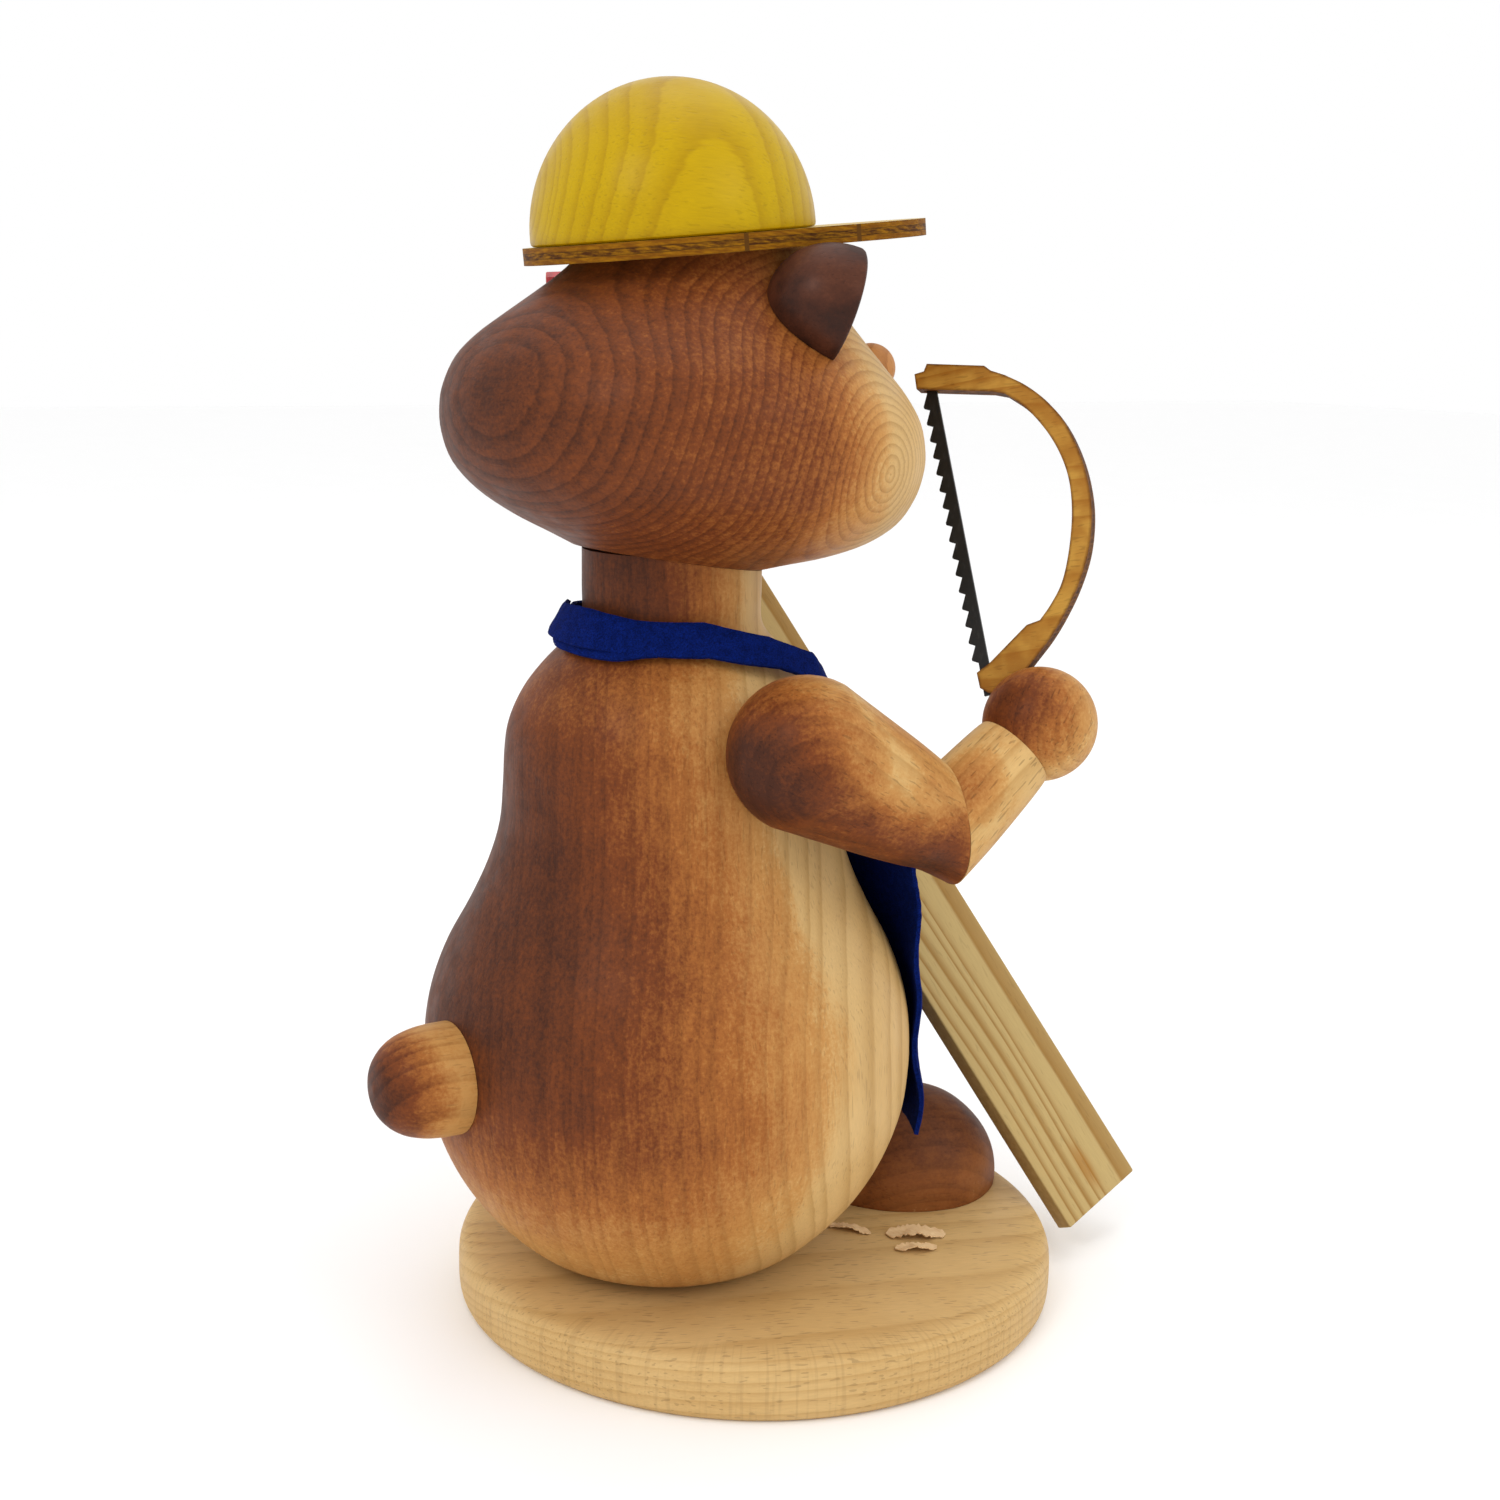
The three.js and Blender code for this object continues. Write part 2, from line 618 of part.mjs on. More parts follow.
function strap() {
  return bent(2, FELT_T, 2, 30, 1, 1, (x, y, z) => {
    const turnAngle = 180 + x * (180 - STRAP_START);
    const fromFront = turnAngle <= 180 ? turnAngle : 360 - turnAngle;
    const [r0, z0, r1, z1] = track(STRAP, fromFront);
    const t = (z + 1) / 2;
    const slope = v2(r1 - r0, z1 - z0).normalize();
    const r = THREE.MathUtils.lerp(r0, r1, t) + y * slope.y;
    const up = THREE.MathUtils.lerp(z0, z1, t) - y * slope.x;
    const a = rad(turnAngle);
    return v3(r * Math.sin(a), -r * Math.cos(a), up);
  });
}
const strapMesh = piece(figure, "neck_strap", strap(), FELT());
carve(strapMesh, bodyOffset(GAP + 0.1), figure);

export default root;
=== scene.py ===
"""Looks of a turned wooden incense smoker: a seated bear dressed as a carpenter.

The frame is in metres, +Z up. The bear faces -Y and its right side is -X. Shapes are worked out in
millimetres and scaled when their mesh is made.
"""

import math
import random

import bmesh
import bpy
from mathutils import Matrix, Vector, noise


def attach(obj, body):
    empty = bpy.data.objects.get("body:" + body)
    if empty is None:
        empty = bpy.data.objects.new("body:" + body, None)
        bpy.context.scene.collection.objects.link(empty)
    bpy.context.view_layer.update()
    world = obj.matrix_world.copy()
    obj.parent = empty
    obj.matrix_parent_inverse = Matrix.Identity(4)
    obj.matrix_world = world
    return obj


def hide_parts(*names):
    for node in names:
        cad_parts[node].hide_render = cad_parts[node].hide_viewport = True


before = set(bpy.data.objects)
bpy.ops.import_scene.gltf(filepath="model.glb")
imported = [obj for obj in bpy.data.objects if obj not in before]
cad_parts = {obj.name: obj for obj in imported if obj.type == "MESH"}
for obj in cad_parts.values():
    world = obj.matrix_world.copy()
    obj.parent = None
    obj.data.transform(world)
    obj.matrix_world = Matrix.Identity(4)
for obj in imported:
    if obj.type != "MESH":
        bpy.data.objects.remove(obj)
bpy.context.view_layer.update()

MM = 0.001
GAP = 0.12
BASE_T = 12.0
SEAT = Matrix.Translation((0, 20.3, 12.3))
HEAD = Matrix.Translation((0, 18.0, 170.8)) @ Matrix.Rotation(math.radians(8.3), 4, "X")
HAT = Matrix.Translation((0, 20.7, 203.4)) @ Matrix.Rotation(math.radians(-5.9), 4, "X")
PLY_T = 3.0
PENCIL_LENGTH = 53.0
HAND_R = 10.6
NOSE_R, NOSE_AT = 4.8, (0, -38.3, 16.9)
PLANK_SIZE = (21.0, 180.0, 4.5)

BODY_PROFILE = [
    (22.3, 0), (25.0, 1.2), (29.0, 3.6), (33.7, 8), (38.0, 13), (41.5, 18.5), (44.2, 24.5),
    (46.1, 31), (46.8, 37.5), (46.9, 42), (46.5, 48), (45.1, 54.5), (42.4, 61.5), (38.3, 69),
    (34.6, 77), (32.2, 85), (31.5, 93), (31.2, 99), (30.6, 103.5), (29.2, 107.5), (27.0, 111.5),
    (24.0, 115.3), (20.8, 118.6), (18.0, 121.4), (16.7, 124.4), (16.7, 130),
]
HEAD_PROFILE = [
    (17.6, -23.4), (21.8, -21.9), (29.2, -19.3), (36.0, -15.9), (41.0, -11.6), (43.6, -6.6),
    (44.5, -2.0), (44.3, 2.0), (42.7, 7.0), (39.5, 11.4), (35.2, 15.6), (30.7, 19.8),
    (26.8, 23.6), (23.8, 27.2), (21.8, 31.0), (20.4, 36.0),
]
RIGHT_ARM = [Vector(p) for p in ((-37.3, 13.2, 116.6), (-39.9, -15.0, 101.3), (-40.6, -35.3, 118.6))]
LEFT_ARM = [Vector(p) for p in ((37.3, 13.2, 116.6), (47.7, -10.0, 93.3), (28.8, -29.8, 91.2))]


# ------------------------------------------------------------------ mesh helpers
def spline(points, per=5):
    """A Catmull-Rom curve through the points."""
    p = [Vector(q) for q in points]
    out = []
    for i in range(len(p) - 1):
        b, c = p[i], p[i + 1]
        a = p[i - 1] if i else 2 * b - c
        d = p[i + 2] if i + 2 < len(p) else 2 * c - b
        for k in range(per):
            t = k / per
            bend = (2 * a - 5 * b + 4 * c - d) * t * t + (3 * b - a - 3 * c + d) * t ** 3
            out.append(tuple(0.5 * (2 * b + (c - a) * t + bend)))
    out.append(tuple(p[-1]))
    return out


def grown(rows, by):
    """A profile moved outwards along its own normals."""
    out = []
    for i, (r, z) in enumerate(rows):
        a, b = rows[max(i - 1, 0)], rows[min(i + 1, len(rows) - 1)]
        along = Vector((b[0] - a[0], b[1] - a[1])).normalized()
        out.append((r + along.y * by, z - along.x * by))
    return out


def lathe(rows, around=128):
    """Vertices and faces of a profile of (radius, height) turned about Z, closed at both ends."""
    verts, faces, rings = [], [], []
    for r, z in rows:
        count = around if r > 1e-6 else 1
        rings.append(list(range(len(verts), len(verts) + count)))
        for k in range(count):
            a = math.tau * k / around
            verts.append((r * math.cos(a), r * math.sin(a), z))
    for low, high in zip(rings, rings[1:]):
        for k in range(around):
            n = (k + 1) % around
            if len(low) == 1 and len(high) > 1:
                faces.append((low[0], high[n], high[k]))
            elif len(high) == 1 and len(low) > 1:
                faces.append((low[k], low[n], high[0]))
            elif len(low) > 1:
                faces.append((low[k], low[n], high[n], high[k]))
    if len(rings[0]) > 1:
        faces.append(tuple(reversed(rings[0])))
    if len(rings[-1]) > 1:
        faces.append(tuple(rings[-1]))
    return verts, faces


def block(x, y, z):
    """Vertices and faces of a box about the origin: used as a cutting tool."""
    verts = [(sx * x / 2, sy * y / 2, sz * z / 2) for sz in (-1, 1) for sy in (-1, 1) for sx in (-1, 1)]
    faces = [(0, 2, 3, 1), (4, 5, 7, 6), (0, 1, 5, 4), (2, 6, 7, 3), (0, 4, 6, 2), (1, 3, 7, 5)]
    return verts, faces


def make(name, shape, place=Matrix()):
    """An object from (vertices, faces) in millimetres, set in place in the row's frame."""
    mesh = bpy.data.meshes.new(name)
    mesh.from_pydata([tuple((place @ Vector(v)) * MM) for v in shape[0]], [], shape[1])
    tidy = bmesh.new()
    tidy.from_mesh(mesh)
    bmesh.ops.recalc_face_normals(tidy, faces=tidy.faces)
    tidy.to_mesh(mesh)
    tidy.free()
    obj = bpy.data.objects.new(name, mesh)
    bpy.context.scene.collection.objects.link(obj)
    return obj


def settle(obj):
    """Applies an object's modifiers to its mesh."""
    graph = bpy.context.evaluated_depsgraph_get()
    graph.update()
    mesh = bpy.data.meshes.new_from_object(obj.evaluated_get(graph))
    obj.modifiers.clear()
    obj.data = mesh


def cut(obj, shape, place=Matrix()):
    """Takes a tool's shape out of an object."""
    tool = make("tool", shape, place)
    step = obj.modifiers.new("cut", "BOOLEAN")
    step.operation = "DIFFERENCE"
    step.solver = "EXACT"
    step.object = tool
    settle(obj)
    bpy.data.objects.remove(tool)


def bevel(obj, width, segments=2, angle=40):
    step = obj.modifiers.new("bevel", "BEVEL")
    step.width = width * MM
    step.segments = segments
    step.limit_method = "ANGLE"
    step.angle_limit = math.radians(angle)
    settle(obj)


def dress(obj, node, body, slot, *materials, angle=34):
    """Shades a piece, gives it its finish and lets it stand for its CAD node."""
    work = bmesh.new()
    work.from_mesh(obj.data)
    for face in work.faces:
        face.smooth = True
    for edge in work.edges:
        edge.smooth = edge.calc_face_angle(0.0) < math.radians(angle)
    work.to_mesh(obj.data)
    work.free()
    if not obj.data.materials:
        for material in materials:
            obj.data.materials.append(material)
    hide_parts(node)
    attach(obj, body)
    return obj


def spin(degrees, axis):
    return Matrix.Rotation(math.radians(degrees), 4, axis)


def aimed(at, direction):
    """A frame at a point whose +Z looks along a direction."""
    turn = Vector((0, 0, 1)).rotation_difference(Vector(direction).normalized())
    return Matrix.Translation(at) @ turn.to_matrix().to_4x4()


def frame_of(at, x, y, z):
    turn = Matrix((x, y, z)).transposed()
    return Matrix.Translation(at) @ turn.to_4x4()


# ------------------------------------------------------------------ shader helpers
def rgb(r, g, b):
    """An sRGB colour, 0 to 255, as a linear colour."""
    out = []
    for c in (r, g, b):
        c /= 255
        out.append(c / 12.92 if c <= 0.04045 else ((c + 0.055) / 1.055) ** 2.4)
    return (*out, 1.0)


class Shader:
    """A material under construction. Every length in it is in millimetres."""

    def __init__(self, name):
        self.material = bpy.data.materials.new(name)
        self.material.use_nodes = True
        self.tree = self.material.node_tree
        self.surface = self.tree.nodes["Principled BSDF"]
        where = self.add("TexCoord").outputs["Object"]
        self.p = self.vector("SCALE", where, scale=1000.0)

    def add(self, kind, **settings):
        node = self.tree.nodes.new("ShaderNode" + kind)
        for key, value in settings.items():
            setattr(node, key, value)
        return node

    def put(self, socket, value):
        if isinstance(value, bpy.types.NodeSocket):
            self.tree.links.new(value, socket)
        else:
            socket.default_value = value

    def vector(self, operation, a, b=None, scale=None):
        node = self.add("VectorMath", operation=operation)
        self.put(node.inputs[0], a)
        if b is not None:
            self.put(node.inputs[1], b)
        if scale is not None:
            self.put(node.inputs["Scale"], scale)
        measured = operation in ("DOT_PRODUCT", "LENGTH", "DISTANCE")
        return node.outputs["Value" if measured else "Vector"]

    def math(self, operation, a, b=0.0, c=0.0, clamp=False):
        node = self.add("Math", operation=operation, use_clamp=clamp)
        for socket, value in zip(node.inputs, (a, b, c)):
            self.put(socket, value)
        return node.outputs[0]

    def span(self, value, low, high, to_low=0.0, to_high=1.0, smooth=True):
        """Carries low..high to to_low..to_high, clamped."""
        node = self.add("MapRange", interpolation_type="SMOOTHSTEP" if smooth else "LINEAR")
        for socket, number in zip(node.inputs, (value, low, high, to_low, to_high)):
            self.put(socket, number)
        return node.outputs[0]

    def noise(self, vector, size, detail=2.0, rough=0.5):
        """Noise whose features are about size millimetres across."""
        node = self.add("TexNoise")
        self.put(node.inputs["Vector"], vector)
        node.inputs["Scale"].default_value = 1.0 / size
        node.inputs["Detail"].default_value = detail
        node.inputs["Roughness"].default_value = rough
        return node.outputs["Fac"]

    def stray(self, value, amount, *noise):
        """A value moved about by noise: amount is from its lowest to its highest."""
        centred = self.math("SUBTRACT", self.noise(*noise), 0.5)
        return self.math("MULTIPLY_ADD", centred, amount, value)

    def ramp(self, value, stops):
        node = self.add("ValToRGB")
        band = node.color_ramp
        while len(band.elements) < len(stops):
            band.elements.new(0.5)
        for element, (at, colour) in zip(band.elements, stops):
            element.position = at
            element.color = colour
        self.put(node.inputs[0], value)
        return node.outputs[0]

    def mix(self, share, a, b, blend="MIX"):
        node = self.add("Mix", data_type="RGBA", blend_type=blend)
        self.put(node.inputs[0], share)
        self.put(node.inputs[6], a)
        self.put(node.inputs[7], b)
        return node.outputs[2]

    def shade(self, colour, amount, low, high):
        """Multiplies a colour by a grey that goes from low to high with amount."""
        grey = self.span(amount, 0.0, 1.0, low, high, smooth=False)
        return self.vector("SCALE", colour, scale=grey)

    def away(self, point, near, far):
        """1 within near of a point, 0 beyond far."""
        return self.span(self.vector("DISTANCE", self.p, point), near, far, 1.0, 0.0)

    def slope(self, direction, low, high, smooth=True):
        """0 to 1 as the position goes from low to high along a direction."""
        unit = tuple(Vector(direction).normalized())
        return self.span(self.vector("DOT_PRODUCT", self.p, unit), low, high, smooth=smooth)

    def bump(self, height, distance, strength=1.0, after=None):
        node = self.add("Bump")
        node.inputs["Strength"].default_value = strength
        node.inputs["Distance"].default_value = distance * MM
        self.put(node.inputs["Height"], height)
        if after is not None:
            self.put(node.inputs["Normal"], after)
        self.put(self.surface.inputs["Normal"], node.outputs[0])
        return node.outputs[0]

    def done(self, colour, roughness=0.45, **extra):
        self.put(self.surface.inputs["Base Color"], colour)
        self.put(self.surface.inputs["Roughness"], roughness)
        for key, value in extra.items():
            self.surface.inputs[key.replace("_", " ")].default_value = value
        return self.material


NATURAL = ((205, 170, 114), (184, 145, 87))
STAIN = ((0.0, (196, 152, 90)), (0.2, (178, 126, 68)), (0.42, (152, 92, 42)), (0.7, (110, 56, 25)),
         (1.0, (68, 36, 23)))


SPECKLE = 1.36  # how far the stain's fine speckles push its strength


def grain(s, fibre, pith, ring, wander=1.2, even=0.3, pore_size=0.42):
    """Growth rings, fibres and pores of a log: fibre is its direction, pith a point on its heart."""
    fibre = Vector(fibre).normalized()
    d = s.vector("SUBTRACT", s.p, tuple(pith))
    along = s.vector("DOT_PRODUCT", d, tuple(fibre))
    axial = s.vector("SCALE", tuple(fibre), scale=along)
    radial = s.vector("SUBTRACT", d, axial)
    squeezed = s.vector("ADD", radial, s.vector("SCALE", axial, scale=0.09))
    radius = s.vector("LENGTH", radial)
    drift = s.vector("ADD", radial, s.vector("SCALE", axial, scale=0.35))
    radius = s.stray(radius, wander * 4, drift, 34, 1)
    radius = s.stray(radius, 0.45, squeezed, 1.6, 1)
    pace = s.add("TexNoise", noise_dimensions="1D")
    s.put(pace.inputs["W"], radius)
    pace.inputs["Scale"].default_value = 0.11
    pace.inputs["Detail"].default_value = 1.0
    phase = s.math("MULTIPLY_ADD", pace.outputs["Fac"], even * 8, s.math("DIVIDE", radius, ring))
    part = s.math("FRACT", phase)
    late = s.math("MULTIPLY", s.span(part, 0.3, 0.93, smooth=False), s.span(part, 0.87, 1.0, 1.0, 0.0))
    late = s.math("POWER", late, 1.5)
    fibres = s.noise(squeezed, 0.3, 2)
    ticks = s.vector("ADD", radial, s.vector("SCALE", axial, scale=0.15))
    patch = s.span(s.noise(s.p, 15, 1), 0.4, 0.6, 0.03, -0.02)
    pores = s.span(s.math("SUBTRACT", s.noise(ticks, pore_size, 0), patch), 0.68, 0.74)
    return late, fibres, pores


def wood(name, fibre, pith, ring=2.7, natural=NATURAL, stops=STAIN, stain=None, rings=0.12, pores=0.22,
         stained_rings=0.3, wander=1.2, even=0.3, rough=0.5, coat=0.03, more=None):
    """Turned wood with an optional sprayed stain. stain(s) gives its strength from 0 to 1."""
    s = Shader(name)
    late, fibres, pore = grain(s, fibre, pith, ring, wander, even)
    broad = s.noise(s.p, 24, 2)
    light, dark = (rgb(*c) for c in natural)
    tone = s.math("ADD", s.math("MULTIPLY", late, 0.62), s.span(broad, 0.35, 0.65, 0.0, 0.38))
    colour = s.mix(tone, light, dark)
    colour = s.shade(colour, late, 1.0, 1.0 - rings)
    colour = s.shade(colour, fibres, 1.12, 0.88)
    if stain:
        strength = stain(s)
        drawn = tuple(1 - 0.84 * abs(f) for f in Vector(fibre).normalized())
        edge = s.math("MULTIPLY", strength, s.math("SUBTRACT", 1.25, strength))
        push = s.stray(0.0, SPECKLE, s.p, 0.7, 3, 0.65)
        push = s.stray(push, 0.8, s.p, 9, 3, 0.6)
        push = s.stray(push, 0.9, s.vector("MULTIPLY", s.p, drawn), 1.0, 3, 0.6)
        push = s.math("MULTIPLY_ADD", s.math("SUBTRACT", late, 0.35), stained_rings, push)
        sprayed = s.math("MULTIPLY_ADD", push, edge, strength, clamp=True)
        coloured = s.ramp(sprayed, [(at, rgb(*c)) for at, c in stops])
        coloured = s.shade(coloured, fibres, 1.08, 0.92)
        coloured = s.shade(coloured, late, 1.0 + rings / 2, 1.0 - rings)
        colour = s.mix(s.span(sprayed, 0.0, 0.16), colour, coloured)
    colour = s.shade(colour, pore, 1.0, 1.0 - pores)
    if more:
        colour = more(s, colour)
    normal = s.bump(fibres, 0.03, 0.35)
    s.bump(s.math("SUBTRACT", 1.0, pore), 0.05, 0.5, normal)
    shine = s.span(s.noise(s.p, 5, 3), 0.3, 0.7, rough - 0.05, rough + 0.07)
    return s.done(colour, shine, Coat_Weight=coat, Coat_Roughness=0.3, Specular_IOR_Level=0.1)


# ------------------------------------------------------------------ finishes
def stain_body(s):
    """Dark round the tail's side, fading out towards the front and the underside."""
    flat = s.vector("MULTIPLY", s.vector("SUBTRACT", s.p, (0, 20.3, 0)), (1, 1, 0))
    turned = s.vector("DOT_PRODUCT", s.vector("NORMALIZE", flat), (0, 1, 0))
    waves = s.stray(turned, 0.18, s.p, 34, 1)
    waves = s.stray(waves, 0.22, s.vector("MULTIPLY", s.p, (1, 1, 0.22)), 7, 2)
    above = s.span(s.slope((0, 0, 1), 84, 116), 0, 1, 1.0, 0.0)
    belly = s.math("MULTIPLY", s.slope((0, 0, 1), 30, 55), above)
    waves = s.math("MULTIPLY_ADD", belly, 0.17, waves)
    neck = s.slope((0, 0, 1), 126, 134)
    waves = s.math("MULTIPLY_ADD", neck, 0.3, waves)
    back = s.span(waves, -0.2, 1.05, 0.0, 0.92, smooth=False)
    lift = s.slope((0, -0.45, 1), -16, 34)
    yoke = s.span(s.slope((0, 0, 1), 112, 126), 0, 1, 1.0, 0.75)
    high = s.math("MAXIMUM", yoke, neck)
    return s.math("MULTIPLY", s.math("MULTIPLY", back, lift), high)


def stain_head(s):
    """Brown from behind, fading out at the muzzle and the cheeks."""
    pushed = s.stray(s.vector("DOT_PRODUCT", s.p, (0.10, 0.94, -0.04)), 12.0, s.p, 20, 2)
    cheek = s.span(pushed, -17, 9, 0.0, 0.66)
    back = s.math("ADD", cheek, s.span(pushed, 9, 54, 0.0, 0.27, smooth=False))
    top = s.slope((0, -0.5, 0.86), 158, 178)
    return s.math("MULTIPLY", back, s.span(top, 0, 1, 1.0, 0.72))


def paint_face(s, colour):
    """Blush round the nose, and two painted eyes, each with a glint of painted highlight."""
    blush = s.away((0, -21, 184.5), 6, 20)
    colour = s.mix(s.math("MULTIPLY", blush, 0.42), colour, rgb(216, 120, 78))
    for side in (-1, 1):
        cheek = s.away((side * 21, -22.5, 171), 2, 12)
        colour = s.mix(s.math("MULTIPLY", cheek, 0.3), colour, rgb(212, 112, 80))
        offset = s.vector("SUBTRACT", s.p, (side * 12.5, -9.6, 190.2))
        oval = s.vector("LENGTH", s.vector("MULTIPLY", offset, (1.3, 0.9, 0.9)))
        colour = s.mix(s.span(oval, 2.5, 2.75, 1.0, 0.0), colour, rgb(16, 13, 12))
        # painted highlight: a small white glint dot on each eye, put into the colour
        glint = s.away((side * 12.5 - 0.7, -8.8, 191.5), 0.6, 0.8)
        colour = s.mix(glint, colour, rgb(235, 235, 230))
    return colour


def stain_all(low, high, size=14):
    """A stain all over, whose strength wanders between two values."""
    return lambda s: s.span(s.noise(s.p, size, 2), 0.32, 0.68, low, high)


def stain_ends(points, base=0.12):
    """A stain sprayed from some points: each is (point, near, far, strength)."""

    def build(s):
        total = s.span(s.noise(s.p, 12, 2), 0.35, 0.65, base * 0.5, base * 1.5)
        for point, near, far, strength in points:
            distance = s.stray(s.vector("DISTANCE", s.p, point), far * 0.5, s.p, 9, 2)
            spot = s.span(distance, near, far, strength, 0.0, smooth=False)
            total = s.math("MAXIMUM", total, spot)
        return total

    return build


def stain_under(joints, spots, strength=0.75):
    """A stain along the underside of an upper arm, besides the sprayed spots."""
    shoulder, elbow, _ = joints
    axis = (elbow - shoulder).normalized()
    down = (Vector((0, 0, -1)) + axis * axis.z).normalized()
    ends = stain_ends(spots, 0.14)

    def build(s):
        low = s.math("SUBTRACT", s.vector("DOT_PRODUCT", s.p, tuple(down)), shoulder.dot(down))
        low = s.stray(low, 9.0, s.p, 10, 2)
        return s.math("MAXIMUM", s.span(low, -5, 9, 0.0, strength), ends(s))

    return build


def yellow_wood(name, fibre, pith):
    """Yellow stained beech: the rings show through as darker lines."""
    return wood(name, fibre, pith, ring=2.3, natural=((184, 151, 0), (168, 131, 0)), rings=0.06,
                pores=0.1, wander=0.8, rough=0.36, coat=0.05)


BRIM_MARKS = (0.0, -22.5)   # where the brim's straight sides meet its round ends


def cut_edge(name, place, sides, burn, glow, marks=()):
    """A laser-cut plywood edge: three plies, charred dark with lighter streaks, and burn marks."""
    s = Shader(name)
    origin, up = place.translation, place.to_3x3().col[2]
    height = s.vector("DOT_PRODUCT", s.vector("SUBTRACT", s.p, tuple(origin)), tuple(up))
    height = s.stray(height, 0.35, s.p, 3, 1)
    layer = s.math("ABSOLUTE", s.math("DIVIDE", height, PLY_T / 2))
    outer = s.span(layer, 0.28, 0.42)
    char = s.noise(s.vector("MULTIPLY", s.p, (0.5, 0.5, 3.0)), 1.5, 4, 0.65)
    colour = s.mix(outer, rgb(*burn), rgb(*sides))
    colour = s.mix(s.span(char, 0.36, 0.72), colour, rgb(*glow))
    glue = s.math("MULTIPLY", s.span(layer, 0.24, 0.32), s.span(layer, 0.36, 0.44, 1.0, 0.0))
    colour = s.shade(colour, glue, 1.0, 0.55)
    colour = s.shade(colour, s.span(layer, 0.86, 1.0), 1.0, 0.72)
    along = place.to_3x3().col[1]
    for mark in marks:
        where = s.vector("DOT_PRODUCT", s.p, tuple(along))
        where = s.math("COMPARE", where, origin.dot(along) + mark, 0.45)
        colour = s.mix(where, colour, rgb(88, 54, 8))
    s.bump(char, 0.12, 0.6)
    return s.done(colour, 0.62, Specular_IOR_Level=0.1)


def brim_top():
    """The brim's faces: yellow stained birch ply, scorched along its laser-cut edge."""
    s = Shader("brim_face")
    late, fibres, pore = grain(s, (0.2, 0.98, 0.1), (0, 20, 330), 6.0, 5.0)
    colour = s.mix(late, rgb(192, 160, 0), rgb(174, 134, 0))
    colour = s.shade(colour, fibres, 1.08, 0.9)
    colour = s.shade(colour, pore, 1.0, 0.85)
    scorch = s.add("Attribute", attribute_name="scorch").outputs["Fac"]
    burn = s.math("MULTIPLY", scorch, s.span(s.noise(s.p, 2.4, 3), 0.3, 0.7, 0.35, 1.0))
    colour = s.mix(burn, colour, rgb(120, 76, 8))
    s.bump(fibres, 0.03, 0.4)
    return s.done(colour, 0.46, Coat_Weight=0.2, Coat_Roughness=0.35)


def saw_face(place):
    """Golden birch ply with the smoke stain a laser leaves beside its cut."""
    s = Shader("saw_face")
    x_axis = place.to_3x3().col[0]
    late, fibres, pore = grain(s, x_axis + Vector((0, 0, 0.25)), (60, 160, 60), 3.4, 4.0)
    colour = s.mix(late, rgb(184, 138, 58), rgb(160, 108, 36))
    colour = s.shade(colour, fibres, 1.14, 0.84)
    smoke = s.span(s.noise(s.p, 7, 3), 0.4, 0.64)
    colour = s.mix(s.math("MULTIPLY", smoke, 0.55), colour, rgb(140, 82, 16))
    scorch = s.add("Attribute", attribute_name="scorch").outputs["Fac"]
    burn = s.math("MULTIPLY", scorch, s.span(s.noise(s.p, 1.8, 3), 0.35, 0.65, 0.55, 1.0))
    colour = s.mix(burn, colour, rgb(84, 44, 10))
    colour = s.shade(colour, pore, 1.0, 0.8)
    s.bump(fibres, 0.04, 0.5)
    return s.done(colour, 0.55, Specular_IOR_Level=0.12)


def pine(place):
    """Planed pine: pale wide rings with resin-brown lines along the board."""
    s = Shader("pine_board")
    turn = place.to_3x3()
    along = turn.col[1]
    heart = place @ Vector((46, 90, -26))
    late, fibres, pore = grain(s, along, heart, 3.3, wander=1.5, even=0.5)
    colour = s.mix(late, rgb(186, 160, 106), rgb(148, 108, 50))
    colour = s.shade(colour, fibres, 1.08, 0.92)
    offset = s.vector("SUBTRACT", s.p, tuple(place @ Vector((0.5, 8, 0))))
    drawn = s.vector("SCALE", tuple(along), scale=s.math("MULTIPLY", s.vector(
        "DOT_PRODUCT", offset, tuple(along)), 0.72))
    streak = s.span(s.vector("LENGTH", s.vector("SUBTRACT", offset, drawn)), 0.4, 2.4, 1.0, 0.0)
    colour = s.mix(s.math("MULTIPLY", streak, 0.6), colour, rgb(158, 102, 26))
    colour = s.shade(colour, pore, 1.0, 0.9)
    rim = s.vector("DOT_PRODUCT", s.vector("SUBTRACT", s.p, tuple(place @ Vector((0, 0, -2.25)))),
                   tuple(turn.col[0]))
    side = s.span(s.math("ABSOLUTE", rim), 10.25, 10.7)
    rough_saw = s.span(s.noise(s.p, 1.4, 3), 0.3, 0.7, 0.75, 1.0)
    colour = s.mix(s.math("MULTIPLY", side, rough_saw), colour, rgb(112, 76, 34))
    s.bump(fibres, 0.07, 0.6)
    return s.done(colour, 0.58, Specular_IOR_Level=0.12)


